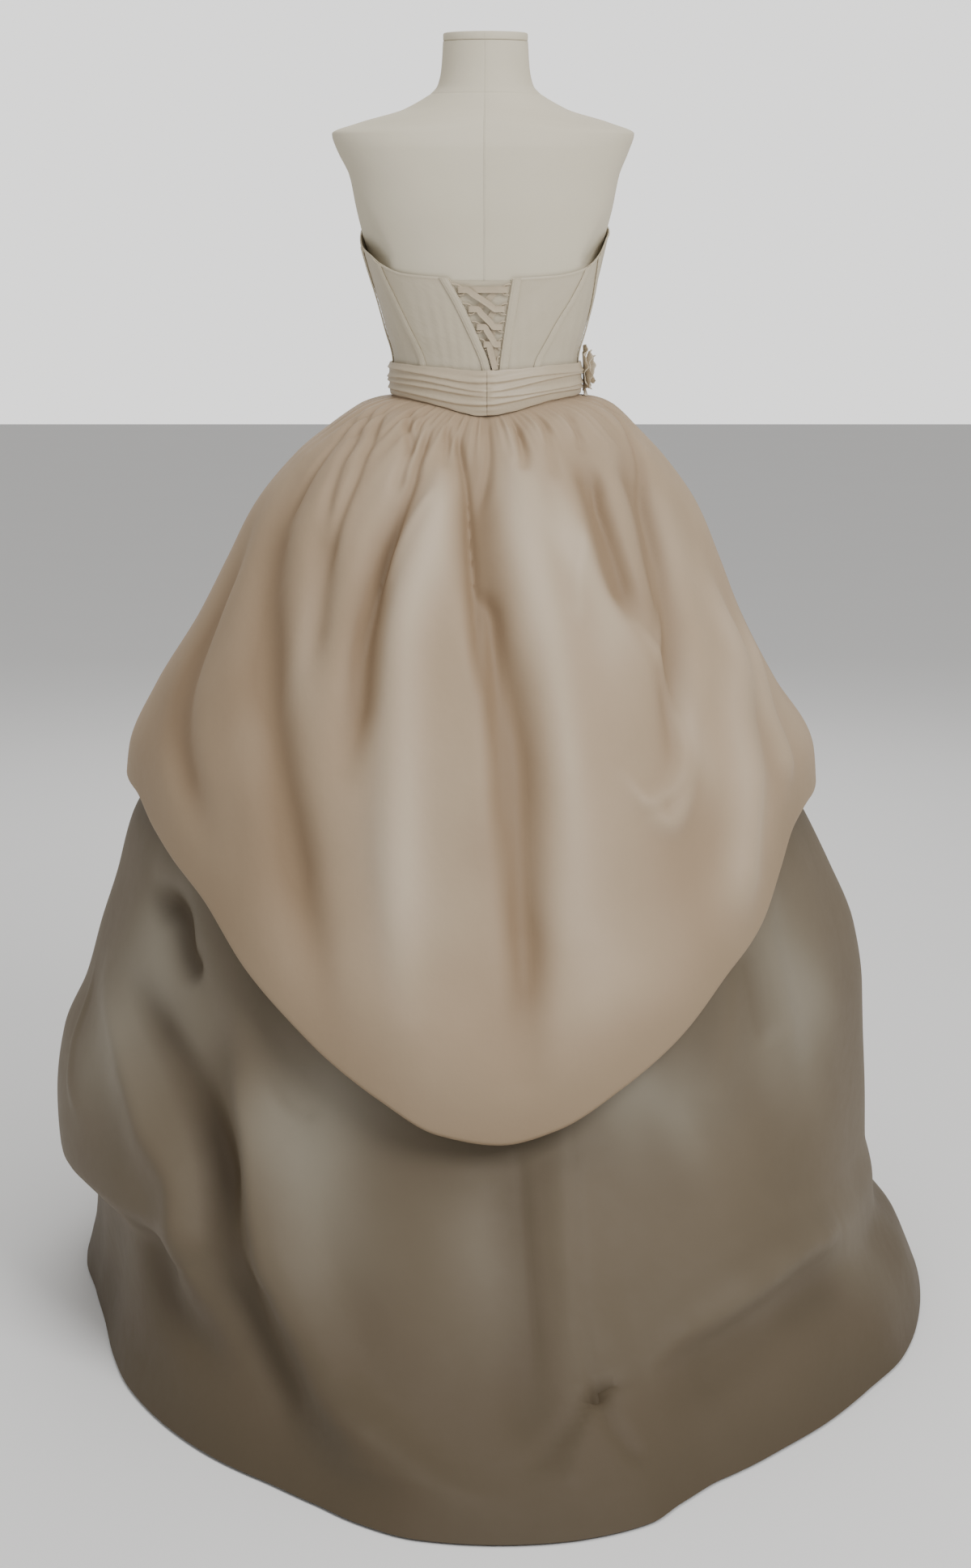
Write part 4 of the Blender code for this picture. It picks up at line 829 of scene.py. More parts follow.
def cloth_finish(name, light, dark, roughness, sheen, thread=900.0, crinkle=0.0012, patch=9.0, lines=(),
                 gleam=0.35):
    """Woven cloth: threads both ways, soft crinkles, uneven colour, and sheen across the surface. Lines are
    pairs of an attribute's name and the colour that it turns the cloth towards."""
    make = Shading(name)
    places = make.add("TexCoord").outputs["UV"]
    wide = make.add("TexNoise", Vector=places, Scale=patch, Detail=4.0, Roughness=0.55)
    small = make.add("TexNoise", Vector=places, Scale=patch * 9.0, Detail=5.0, Roughness=0.6)
    across = make.add("TexWave", {"bands_direction": "X"}, Vector=places, Scale=thread, Distortion=0.6)
    down = make.add("TexWave", {"bands_direction": "Y"}, Vector=places, Scale=thread * 0.9, Distortion=0.6)
    weave = make.math("MULTIPLY", across.outputs["Fac"], down.outputs["Fac"])
    # Broad noise patches between the light and the dark colour: uneven tone, and on the corset satin also painted
    # sheen.
    share = make.math("MULTIPLY", wide.outputs["Fac"], 0.9)
    colour = make.blend(share, light, dark)
    thin = make.math("MULTIPLY", weave, 0.10)
    colour = make.blend(thin, colour, dark)
    for label, towards in lines:
        read = make.add("Attribute", {"attribute_name": label}).outputs["Fac"]
        colour = make.blend(read, colour, towards)
    make.put(make.shader, "Base Color", colour)
    gloss = make.math("MULTIPLY", small.outputs["Fac"], 0.16)
    make.put(make.shader, "Roughness", make.math("ADD", gloss, roughness - 0.08))
    make.put(make.shader, "Specular IOR Level", gleam)
    make.put(make.shader, "Sheen Weight", sheen)
    make.put(make.shader, "Sheen Roughness", 0.45)
    make.put(make.shader, "Sheen Tint", (*light[:3], 1.0))
    creases = make.add("Bump", Strength=0.55, Distance=crinkle, Height=small.outputs["Fac"])
    soft = make.add("Bump", Strength=0.6, Distance=crinkle * 5.0, Height=wide.outputs["Fac"],
                    Normal=creases.outputs["Normal"])
    fine = make.add("Bump", Strength=0.12, Distance=0.0002, Height=weave, Normal=soft.outputs["Normal"])
    make.put(make.shader, "Normal", fine.outputs["Normal"])
    return make.material


def metal_finish(name, colour):
    """Brushed steel: fine rings of scratches and a little uneven gloss on object places."""
    make = Shading(name)
    places = make.add("TexCoord").outputs["Object"]
    noise = make.add("TexNoise", Vector=places, Scale=60.0, Detail=6.0)
    rings = make.add("TexWave", {"wave_type": "RINGS", "rings_direction": "Z"}, Vector=places, Scale=260.0,
                     Distortion=1.2, Detail=2.0)
    make.put(make.shader, "Base Color", make.blend(noise.outputs["Fac"], colour, [0.8 * c for c in colour]))
    make.put(make.shader, "Metallic", 0.9)
    gloss = make.math("MULTIPLY", noise.outputs["Fac"], 0.25)
    make.put(make.shader, "Roughness", make.math("ADD", gloss, 0.25))
    bump = make.add("Bump", Strength=0.1, Distance=0.0001, Height=rings.outputs["Fac"])
    make.put(make.shader, "Normal", bump.outputs["Normal"])
    return make.material


def colour_setting(name, description, default):
    """Colour property of the panel."""
    return bpy.props.FloatVectorProperty(name=name, description=description, default=default,
                                         subtype="COLOR", size=3, min=0.0, max=1.0)


class DressSizes(bpy.types.PropertyGroup):
    """Sizes of the cloth that a user would change."""

    cloth_thickness: bpy.props.FloatProperty(
        name="Cloth thickness", description="Thickness of a sheet of cloth", default=0.0012,
        min=0.0004, max=0.003, subtype="DISTANCE", unit="LENGTH")
    fold_sharpness: bpy.props.FloatProperty(
        name="Fold sharpness", description="How strongly the fine folds show", default=1.0, min=0.0, max=2.0)
    pucker_depth: bpy.props.FloatProperty(
        name="Pucker depth", description="Depth of the small puckers below the sash", default=0.0016,
        min=0.0, max=0.004, subtype="DISTANCE", unit="LENGTH")
    sash_pleat: bpy.props.FloatProperty(
        name="Sash pleat depth", description="How far a pleat of the sash stands out", default=0.0026,
        min=0.0, max=0.004, subtype="DISTANCE", unit="LENGTH")
    ribbon_width: bpy.props.FloatProperty(
        name="Ribbon width", description="Width of the lacing ribbon", default=0.0074, min=0.004, max=0.010,
        subtype="DISTANCE", unit="LENGTH")
    floor_size: bpy.props.FloatProperty(
        name="Floor size", description="Half length of the pale floor", default=14.0, min=4.0, max=40.0,
        subtype="DISTANCE", unit="LENGTH")


class DressColours(bpy.types.PropertyGroup):
    """Colours of the cloth, the form, the stand and the floor."""

    form: colour_setting("Form cover", "Cotton cover of the dress form", (0.700, 0.645, 0.510))
    form_dark: colour_setting("Form cover shade", "Uneven parts of the cover", (0.600, 0.540, 0.410))
    # The corset satin's broad noise patches between these two colours are uneven tone and painted sheen patches.
    corset: colour_setting("Corset satin", "Satin of the corset", (0.620, 0.555, 0.425))
    corset_sheen_patch_shade: colour_setting("Corset shade", "Uneven parts of the satin", (0.480, 0.415, 0.300))
    sash: colour_setting("Sash satin", "Satin of the sash and ribbon", (0.580, 0.490, 0.360))
    sash_dark: colour_setting("Sash shade", "Uneven parts of the sash", (0.420, 0.340, 0.235))
    rosette: colour_setting("Rosette organza", "Ruffled layers of the rosette", (0.760, 0.690, 0.570))
    overskirt: colour_setting("Overskirt organza", "Organza over satin", (0.430, 0.320, 0.215))
    overskirt_dark: colour_setting("Overskirt shade", "Uneven parts of the organza", (0.330, 0.240, 0.152))
    # Painted highlight colour that the overskirt's ridges and bright patches are turned towards.
    overskirt_painted_highlight: colour_setting("Overskirt light", "Ridges of the organza", (0.520, 0.420, 0.310))
    # Painted shade colour for the overskirt's fold valleys and shaded patches.
    overskirt_painted_shade: colour_setting("Overskirt depth", "Folds of the organza", (0.250, 0.170, 0.100))
    overskirt_edge: colour_setting("Overskirt edge", "Sheer border of the organza", (0.230, 0.165, 0.100))
    skirt: colour_setting("Skirt satin", "Satin under organza", (0.150, 0.118, 0.078))
    skirt_dark: colour_setting("Skirt shade", "Uneven parts of the skirt", (0.112, 0.085, 0.052))
    # Painted shade colour for the skirt's fold valleys.
    skirt_painted_shade: colour_setting("Skirt depth", "Folds of the skirt", (0.075, 0.052, 0.028))
    # Painted shade colour that the skirt darkens to towards the floor.
    skirt_painted_floor_shade: colour_setting("Skirt hem", "Painted shade near the floor", (0.070, 0.050, 0.027))
    # Painted highlight colour for the skirt's bright patches.
    skirt_painted_highlight: colour_setting("Skirt light", "Painted highlights on the satin", (0.250, 0.220, 0.168))
    steel: colour_setting("Stand steel", "Brushed steel of the stand", (0.550, 0.550, 0.540))
    floor: colour_setting("Floor", "Plain pale floor", (0.930, 0.928, 0.922))


class DRESS_OT_stand(bpy.types.Operator):
    """Give the base and the pole of the form their brushed steel."""

    bl_idname = "dress.stand"
    bl_label = "Finish the stand"

    def execute(self, context):
        finish = metal_finish("brushed_steel", context.scene.dress_colours.steel)
        for name in ("form_base", "form_pole"):
            mesh = NODES[name].data
            mesh.materials.clear()
            mesh.materials.append(finish)
        return {"FINISHED"}


class DRESS_OT_form(bpy.types.Operator):
    """Make the padded form with its neck seam, and the cap of the neck. The radius is the form's oval, cut by
    two flats with a softened edge, less a bell curve at each seam."""

    bl_idname = "dress.form"
    bl_label = "Make the dress form"

    def execute(self, context):
        colours = context.scene.dress_colours
        finish = cloth_finish("form_cotton", colours.form, colours.form_dark, 0.86, 0.25, 700.0, 0.0004, 6.0)
        heights = np.unique(np.concatenate([np.linspace(0.906, 1.44, 60), np.linspace(1.44, 1.5697, 70),
                                            np.linspace(1.503, 1.511, 9)]))
        heights = np.concatenate([[0.9], heights])
        turns = np.linspace(0.0, 2 * np.pi, 200, endpoint=False)
        angle, height = np.meshgrid(turns, heights)
        radius = form_radius(angle, height)
        flat = smooth_read(SHOULDER_FLAT, height)[..., 0]
        flat = np.where((height > SHOULDER_FLAT[0][0]) & (height < SHOULDER_FLAT[-1][0]), flat, 1.0)
        for facing_angle in (-SHOULDER_FACING, SHOULDER_FACING):
            turn = np.cos(angle - math.radians(facing_angle))
            cut = np.where(turn > 0.3, flat / np.maximum(turn, 0.3), 9.0)
            soft = 0.0012
            gap = np.clip((cut - radius) / soft, -30.0, 30.0)
            radius = radius - soft * np.log1p(np.exp(-gap))
        radius[0] -= 0.010
        radius = radius - 0.0007 * np.exp(-((height - 1.507) / 0.0011) ** 2)
        back_seam = np.exp(-(radius * np.abs(np.sin(0.5 * angle)) * 2.0 / 0.0011) ** 2)
        radius = radius - 0.0004 * back_seam * (height > 1.30)
        item = ring_solid("form_cover", polar(angle, radius, height), finish)
        finish_piece(item, ["form_torso"])
        profile = np.array([(1.5700, 0.0500), (1.5706, 0.0514), (1.5722, 0.0519), (1.5776, 0.0519),
                            (1.5792, 0.0514), (1.5799, 0.0500), (1.5800, 0.0470), (1.5800, 0.0200)])
        angle, height = np.meshgrid(np.linspace(0.0, 2 * np.pi, 96, endpoint=False), profile[:, 0])
        item = ring_solid("neck_cap", polar(angle, profile[:, 1:2], height), finish, sharp=40.0)
        finish_piece(item, ["form_neck_cap"])
        return {"FINISHED"}


def corset_edge(angle):
    """Height of the corset's upper edge."""
    return smooth_read(CORSET_TOP, wrapped(angle))[..., 0]


def panel_grid(left, right, columns):
    """Grid of a corset panel between two seams: the form let out by the lining, a rolled upper edge, and
    soft pull lines that run down from the seams."""
    down = np.concatenate([np.linspace(0.0, 0.035, 9), np.linspace(0.05, 1.0, 48)])
    share, down = np.meshgrid(np.linspace(0.0, 1.0, columns), down)
    angle = np.zeros(share.shape)
    top = np.full(share.shape, 1.32)
    for _ in range(8):
        height = top - (top - CORSET_BOTTOM) * down
        seams = smooth_read(SEAMS, height)
        start = seams[..., left]
        end = seams[..., right] + (360.0 if right < left else 0.0)
        inset = np.degrees(0.5 * GAP / form_radius(np.radians(start), height))
        angle = np.radians(start + inset + (end - start - 2.0 * inset) * share)
        top = corset_edge(angle)
    height = top - (top - CORSET_BOTTOM) * down
    roll = 0.0007 * np.exp(-((top - height - 0.0022) / 0.0016) ** 2)
    pull = 0.0004 * np.sin(46.0 * angle + 40.0 * height) * np.sin(np.pi * share) * np.sin(np.pi * down)
    offset = CORSET_OFFSET + CLOTH
    radius = form_radius(angle, height, offset) + roll + pull * 0.8
    return polar(angle, radius, height)


class DRESS_OT_corset(bpy.types.Operator):
    """Make the seven corset panels, the modesty panel and the six boning channels. A channel's thickness is a
    round arch across its width, less two grooves where it is stitched down."""

    bl_idname = "dress.corset"
    bl_label = "Make the corset"

    def execute(self, context):
        colours = context.scene.dress_colours
        # The satin's broad noise patches between its light and dark colour are painted sheen as well as uneven tone.
        satin = cloth_finish("corset_satin", colours.corset, colours.corset_sheen_patch_shade, 0.40, 0.30, 1200.0, 0.0008, 14.0)
        for name, left, right, columns, flat in CORSET_PANELS:
            item = cloth_wall(name + "_cloth", panel_grid(left, right, columns), CLOTH, satin)
            finish_piece(item, [name])
        for name, column, side in CORSET_CHANNELS:
            shift = side * (0.5 * CHANNEL_WIDTH + 0.0008)
            share, down = np.meshgrid(np.linspace(0.0, 1.0, 21), np.linspace(0.004, 0.895, 70))
            angle = np.zeros(share.shape)
            top = np.full(share.shape, 1.30)
            for _ in range(8):
                height = top - (top - CORSET_BOTTOM) * down
                seam = np.radians(smooth_read(SEAMS, height)[..., column])
                angle = seam + (shift + CHANNEL_WIDTH * (share - 0.5)) / form_radius(seam, height)
                top = corset_edge(angle)
            height = top - (top - CORSET_BOTTOM) * down
            across = 2.0 * share - 1.0
            arch = 0.0009 * (1.0 - across ** 4) - 0.0005 * np.exp(-((np.abs(across) - 0.66) / 0.10) ** 2)
            arch = arch + 0.00012 * np.sin(900.0 * height) * (np.abs(across) > 0.5)
            outer = polar(angle, form_radius(angle, height, CHANNEL_OFFSET + CHANNEL_THICK) + arch, height)
            item = cloth_wall(name + "_cloth", outer, 0.0011, satin)
            finish_piece(item, [name])
        share, down = np.meshgrid(np.linspace(0.0, 1.0, 40), np.linspace(0.0, 1.0, 50))
        height = 1.2840 - 0.1180 * down
        seams = np.radians(smooth_read(SEAMS, height))
        reach = 0.0075 / 0.0880
        angle = seams[..., 3] - reach + (seams[..., 4] - seams[..., 3] + 2.0 * reach) * share
        ripple = 0.00025 * np.sin(260.0 * height + 3.0 * share) * np.sin(np.pi * share)
        outer = polar(angle, form_radius(angle, height, MODESTY_OFFSET + CHANNEL_THICK) + ripple, height)
        item = cloth_wall("modesty_panel_cloth", outer, 0.0010, satin)
        finish_piece(item, ["modesty_panel"])
        return {"FINISHED"}


def lacing_angle(side, height, inward):
    """Angle of a place beside a lacing edge, inward of the edge by a length."""
    seam = np.radians(smooth_read(SEAMS, np.asarray(height, float))[..., 3 if side < 0 else 4])
    return seam - side * inward / form_radius(seam, np.asarray(height, float))


def loop_turn(side, level, forward):
    """Places of the ribbon round the bar of a loop: angle, height and offset off the form."""
    height, reach, _ = LOOPS[level]
    start, end = (RIBBON_BACK, RIBBON_FRONT) if forward else (RIBBON_FRONT, RIBBON_BACK)
    turn = [(1.32, 0.0), (0.46, 0.06), (0.34, 0.5), (0.46, 0.94), (1.32, 1.0)]
    return [(float(lacing_angle(side, height, share * reach)), height, start + (end - start) * out)
            for share, out in turn]


def ribbon_places():
    """Knots of the ribbon's line, and how far each knot belongs to a turn round a loop."""
    runs = [[(float(lacing_angle(-1, RIBBON_END, 0.0040)), RIBBON_END, RIBBON_BACK)]]
    for level in (3, 2, 1, 0):
        runs.append(loop_turn(1 if level % 2 else -1, level, level % 2 == 1))
    runs.append(loop_turn(1, 0, False))
    for level in (1, 2, 3):
        runs.append(loop_turn(-1 if level % 2 else 1, level, level % 2 == 1))
    runs.append([(float(lacing_angle(1, RIBBON_END, 0.0040)), RIBBON_END, RIBBON_FRONT)])
    places = list(runs[0])
    turning = [0.0]
    for before, after in zip(runs, runs[1:]):
        start = np.array(before[-1])
        end = np.array(after[0])
        places += [tuple(start + (end - start) * share) for share in (0.25, 0.5, 0.75)]
        places += after
        turning += [0.0, 0.0, 0.0] + ([0.6, 1.0, 1.0, 1.0, 0.6] if len(after) == 5 else [0.0])
    return np.array(places), np.array(turning)


class DRESS_OT_lacing(bpy.types.Operator):
    """Make the ten fabric loops and the ribbon. A loop is a round tube on a half oval. The ribbon is a flat
    section with a raised middle and rolled edges, carried along a smooth line through the loops."""

    bl_idname = "dress.lacing"
    bl_label = "Make the lacing"

    def execute(self, context):
        colours = context.scene.dress_colours
        satin = cloth_finish("lacing_satin", colours.sash, colours.sash_dark, 0.34, 0.25, 1400.0, 0.0004, 40.0)
        turns = np.linspace(-0.5 * np.pi, 0.5 * np.pi, 25)
        for number, (height, reach, half) in enumerate(LOOPS, 1):
            for side, word in ((-1, "left"), (1, "right")):
                heights = height + half * np.sin(turns)
                inward = GAP + LOOP_RADIUS * 0.2 + (reach - LOOP_RADIUS) * np.cos(turns) ** 0.7
                angle = lacing_angle(side, heights, inward)
                line = polar(angle, form_radius(angle, heights, LOOP_DEPTH), heights)
                thick = LOOP_RADIUS * (0.94 + 0.05 * np.sin(np.arange(25) * 2.4))
                item = tube("lacing_loop_cloth_%s_%d" % (word, number), line, thick, 12, satin)
                finish_piece(item, ["lacing_loop_%s_%d" % (word, number)])
        knots, turning = ribbon_places()
        keys = np.arange(len(knots), dtype=float)
        table = np.column_stack([keys, knots, turning]).tolist()
        angle, height, offset, turning = smooth_read(table, np.linspace(0.0, keys[-1], len(keys) * 6)).T
        line = polar(angle, form_radius(angle, height, offset), height)
        above = polar(angle, form_radius(angle, height + 0.001, offset), height + 0.001) - line
        along = np.gradient(line, axis=0)
        along /= np.linalg.norm(along, axis=1, keepdims=True)
        above /= np.linalg.norm(above, axis=1, keepdims=True)
        off = np.stack([np.sin(angle), -np.cos(angle), np.zeros(len(angle))], axis=1)
        across = np.cross(off, along)
        across /= np.maximum(np.linalg.norm(across, axis=1, keepdims=True), 1e-9)
        for place in range(1, len(across)):
            before = above[place] if turning[place] > 0.5 else across[place - 1]
            if across[place] @ before < 0.0:
                across[place] = -across[place]
        wide = above * turning[:, None] + across * (1.0 - turning[:, None])
        wide /= np.linalg.norm(wide, axis=1, keepdims=True)
        out = np.cross(along, wide)
        steps = np.linspace(-1.0, 1.0, 9)
        width = context.scene.dress_sizes.ribbon_width
        bend = 0.0004 * steps ** 2
        front = line[:, None] + 0.5 * width * steps[None, :, None] * wide[:, None]
        rise = (0.0004 + bend[None, :, None] * 0.5) * out[:, None]
        rings = np.concatenate([front + rise, (front - rise)[:, ::-1]], axis=1)
        item = ring_solid("lacing_ribbon_cloth", rings[:, ::-1], satin)
        finish_piece(item, ["lacing_ribbon"])
        return {"FINISHED"}


def sash_pleats(angle, step):
    """Rise of the sash's overlapping pleats: each is steep below its line and soft above it, and the lines
    wander and draw together towards the back opening."""
    near = np.exp(-(wrapped(angle) / 30.0) ** 2)
    turn = np.radians(wrapped(angle))
    rise = np.zeros(np.broadcast(angle, step).shape)
    for number, (level, lean, wander) in enumerate(SASH_PLEATS):
        line = level + lean * np.sin(turn) + wander * np.sin(3.0 * turn + 2.1 * number)
        line = line * (1.0 - 0.18 * near)
        above = (step - line) / 0.17
        below = (line - step) / 0.045
        rise = rise + np.where(step > line, np.exp(-above ** 2), np.exp(-below ** 2))
    return rise


class DRESS_OT_sash(bpy.types.Operator):
    """Make the draped sash. Its outer face stands off the form by a rounded swell and its overlapping
    pleats, and its right end lies over its left end at the centre back."""

    bl_idname = "dress.sash"
    bl_label = "Make the sash"

    def execute(self, context):
        colours = context.scene.dress_colours
        pleat = context.scene.dress_sizes.sash_pleat
        satin = cloth_finish("sash_satin", colours.sash, colours.sash_dark, 0.36, 0.30, 1200.0, 0.0007, 16.0)
        degrees = np.concatenate([np.linspace(1.3, 12.0, 30), np.linspace(13.0, 348.0, 210),
                                  np.linspace(349.0, 361.0, 30)])
        angle, step = np.meshgrid(np.radians(degrees), np.linspace(-1.0, 1.0, 61), indexing="ij")
        back = np.exp(-(wrapped(angle) / 16.0) ** 2)
        swell = np.sqrt(np.maximum(1.0 - np.abs(step) ** 3, 0.0))
        rise = sash_pleats(angle, step)
        ends = np.exp(-((np.degrees(angle) - 1.3) / 2.2) ** 2) + np.exp(-((361.0 - np.degrees(angle)) / 2.2) ** 2)
        pinch = 0.0006 * np.sin(24.0 * step + 1.0) * np.exp(-(wrapped(angle) / 9.0) ** 2)
        right = np.exp(-((np.degrees(angle) - 1.3) / 9.0) ** 2)
        offset = SASH_OFFSET + 0.0024 * back
        out = offset + 0.0014 + (0.0012 + pleat * np.clip(rise, 0.0, 1.15) * (1.0 - 0.3 * ends)) * swell
        out = out + (pinch + 0.0010 * right) * swell
        edge = 0.012 * np.sin(9.0 * angle) + 0.010 * np.sin(23.0 * angle + 1.0)
        height = sash_middle(angle) + sash_half(angle) * (step + edge * np.abs(step) ** 3)
        outer = polar(angle, form_radius(angle, height, out), height)
        low = np.stack([sash_half(angle[:, 0]) - 0.0006, np.zeros(len(angle)),
                        0.0006 - sash_half(angle[:, 0])], axis=1)
        inner_height = sash_middle(angle[:, :1]) + low
        inner_angle = angle[:, :3]
        inner = polar(inner_angle, form_radius(inner_angle, inner_height, offset[:, :3]), inner_height)
        rings = np.concatenate([outer, inner], axis=1)[:, ::-1]
        item = ring_solid("waist_sash_cloth", rings, satin)
        finish_piece(item, ["waist_sash"])
        return {"FINISHED"}


class DRESS_OT_rosette(bpy.types.Operator):
    """Make the fabric rosette: round layers whose rim waves and rises, and a rolled bud."""

    bl_idname = "dress.rosette"
    bl_label = "Make the rosette"

    def execute(self, context):
        colours = context.scene.dress_colours
        organza = cloth_finish("rosette_organza", colours.rosette, colours.sash, 0.55, 0.35, 900.0, 0.0004, 30.0)
        turns = np.linspace(0.0, 2 * np.pi, 144, endpoint=False)
        centre = np.array([0.0, ROSETTE_Y, ROSETTE_Z])
        for number, (name, small, large, out, rise, waves, ruffle) in enumerate(ROSETTE_LAYERS):
            turn, share = np.meshgrid(turns, np.linspace(0.0, 1.0, 16))
            size = small + (large - small) * share
            wave = np.sin(waves * turn) + 0.45 * np.sin((2 * waves + 1) * turn + 0.7 + number)
            bend = out + rise * share ** 1.5 + ruffle * share ** 2 * wave
            edge = size * (1.0 + 0.05 * share * np.sin(waves * turn + 1.3))
            face = np.stack([bend, edge * np.cos(turn), edge * np.sin(turn)], axis=2)
            below = face - np.array([0.0008, 0.0, 0.0])
            below[-1, :, 1:] *= 0.992
            rings = np.concatenate([face, below[::-1]]) + centre
            count, around = rings.shape[:2]
            index = np.arange(count * around).reshape(count, around)
            following = np.roll(index, -1, axis=1)
            lower = np.roll(index, -1, axis=0)
            corner = np.roll(following, -1, axis=0)
            quads = np.stack([index, following, corner, lower], axis=-1).reshape(-1, 4)[:, ::-1]
            lengths = grid_lengths(rings).reshape(-1, 2)
            item = build_mesh(name + "_cloth", rings.reshape(-1, 3), [quads], organza, lengths)
            finish_piece(item, [name])
        size, out, rise = ROSETTE_BUD
        share = np.linspace(0.0, 1.0, 24)
        turn, share = np.meshgrid(turns, share)
        radius = size * (0.30 + 0.72 * np.sin(np.pi * (0.12 + 0.62 * share)))
        radius = radius * (1.0 + 0.07 * np.sin(3.0 * turn + 5.0 * share))
        rings = np.stack([out + rise * share, radius * np.cos(turn), radius * np.sin(turn)], axis=2) + centre
        item = ring_solid("rosette_bud_cloth", rings, organza)
        finish_piece(item, ["rosette_bud"])
        return {"FINISHED"}


def share_rows(coarse, counts):
    """Rows between coarse values, with a count of steps in each span."""
    spans = [np.linspace(a, b, n, endpoint=False) for a, b, n in zip(coarse, coarse[1:], counts)]
    return np.concatenate(spans + [[coarse[-1]]])


def spread_angles(first, last, count, radius):
    """Angles of every row between two seams, half a gap inside each."""
    angles = np.radians(np.linspace(first, last, count))
    middle = 0.5 * (angles[0] + angles[-1])
    shrink = 1.0 - 0.5 * GAP / radius[:, None] / (0.5 * (angles[-1] - angles[0]))
    return middle + (angles[None] - middle) * shrink


def rim_share(down, reach):
    """How near a place is to the lower edge: 1 at the edge and 0 above a reach of the whole length."""
    share = np.clip((down - (1.0 - reach)) / reach, 0.0, 1.0)
    return share * share * (3.0 - 2.0 * share)


def patch_share(angle, height, places):
    """Share of another tone: the sum of soft ovals, whose rim wanders with the angle and the height."""
    degrees = wrapped(angle) + 1.6 * np.sin(31.0 * height + 4.0 * angle)
    level = height + 0.008 * np.sin(14.0 * angle) + 0.005 * np.sin(41.0 * angle + 20.0 * height)
    total = np.zeros(np.broadcast(degrees, height).shape)
    for middle, centre, wide, tall, strength in places:
        away = ((degrees - middle) / wide) ** 2 + ((level - centre) / tall) ** 2
        total = total + strength * np.exp(-away)
    return np.clip(total, 0.0, 0.95)


class DRESS_OT_overskirt(bpy.types.Operator):
    """Make the gathered overskirt. Its radius is a smooth table of ovals by height. Gathers, broad folds and
    fine pleats move it along its own facing, and its lower edge rolls under."""

    bl_idname = "dress.overskirt"
    bl_label = "Make the overskirt"

    def execute(self, context):
        colours = context.scene.dress_colours
        sizes = context.scene.dress_sizes
        # The attributes light and deep turn the organza towards a painted highlight and a painted shade colour; rim
        # turns it towards the sheer border colour.
        lines = [("light", colours.overskirt_painted_highlight), ("deep", colours.overskirt_painted_shade),
                 ("rim", colours.overskirt_edge)]
        organza = cloth_finish("overskirt_organza", colours.overskirt, colours.overskirt_dark, 0.60, 0.30,
                               800.0, 0.0007, 6.0, lines)
        rows = share_rows([0.0, FLARE_SHARE, 0.16, 0.34, 1.0, 1.6, 2.0], [4, 16, 34, 80, 14, 5])
        side = overskirt_plain(np.full(len(rows), 0.5 * np.pi), rows)
        radius = np.hypot(side[:, 0], side[:, 1])
        for name, first, last, columns, flat, area in OVERSKIRT_CUTS:
            angle = spread_angles(first, last, columns, radius)
            down = np.repeat(rows[:, None], columns, axis=1)
            level = np.minimum(down, 1.0)
            points = overskirt_plain(angle, level)
            depth = gather_depth(angle, points[..., 2])
            if name.endswith("back"):
                depth = 0.45 * depth
            depth = depth + fold_depth(points, OVERSKIRT_FOLDS, overskirt_radius)
            depth = depth + sizes.fold_sharpness * fine_depth(points, FINE_OVERSKIRT, overskirt_radius)
            drop = FLARE_HEIGHT - waist_dip(angle, OVERSKIRT_TOP) - points[..., 2]
            wave = np.sin(58.0 * angle + 2.0 * np.sin(7.0 * angle)) + 0.6 * np.sin(97.0 * angle + 1.0)
            pucker = np.clip(drop / 0.010, 0.0, 1.0) * np.clip(1.0 - drop / 0.060, 0.0, 1.0) ** 1.5
            depth = depth + sizes.pucker_depth * wave * pucker
            drift = np.sin(9.0 * angle + 8.0 * points[..., 2]) * np.sin(5.0 * angle - 11.0 * points[..., 2])
            depth = depth + 0.0022 * drift * np.clip(drop / 0.15, 0.0, 1.0)
            outward = facing(overskirt_plain, angle, np.minimum(level, 0.9995))
            outer = overskirt_plain(angle, down) + depth[..., None] * outward
            rim = 0.55 * rim_share(np.minimum(down, 1.0), 0.16)
            # Painted highlights: the listed bright patches and the fold ridges. Painted shade: the listed shaded
            # patches and the fold valleys.
            light = patch_share(angle, points[..., 2], OVERSKIRT_PAINTED_HIGHLIGHTS) + np.clip(depth / 0.020, 0.0, 0.5)
            deep = patch_share(angle, points[..., 2], OVERSKIRT_PAINTED_SHADE) + np.clip(-depth / 0.022, 0.0, 0.8)
            tones = {"rim": rim, "light": np.clip(light, 0.0, 0.95), "deep": np.clip(deep, 0.0, 0.95)}
            item = cloth_wall(name + "_cloth", outer, sizes.cloth_thickness, organza, tones)
            finish_piece(item, [name])
        return {"FINISHED"}


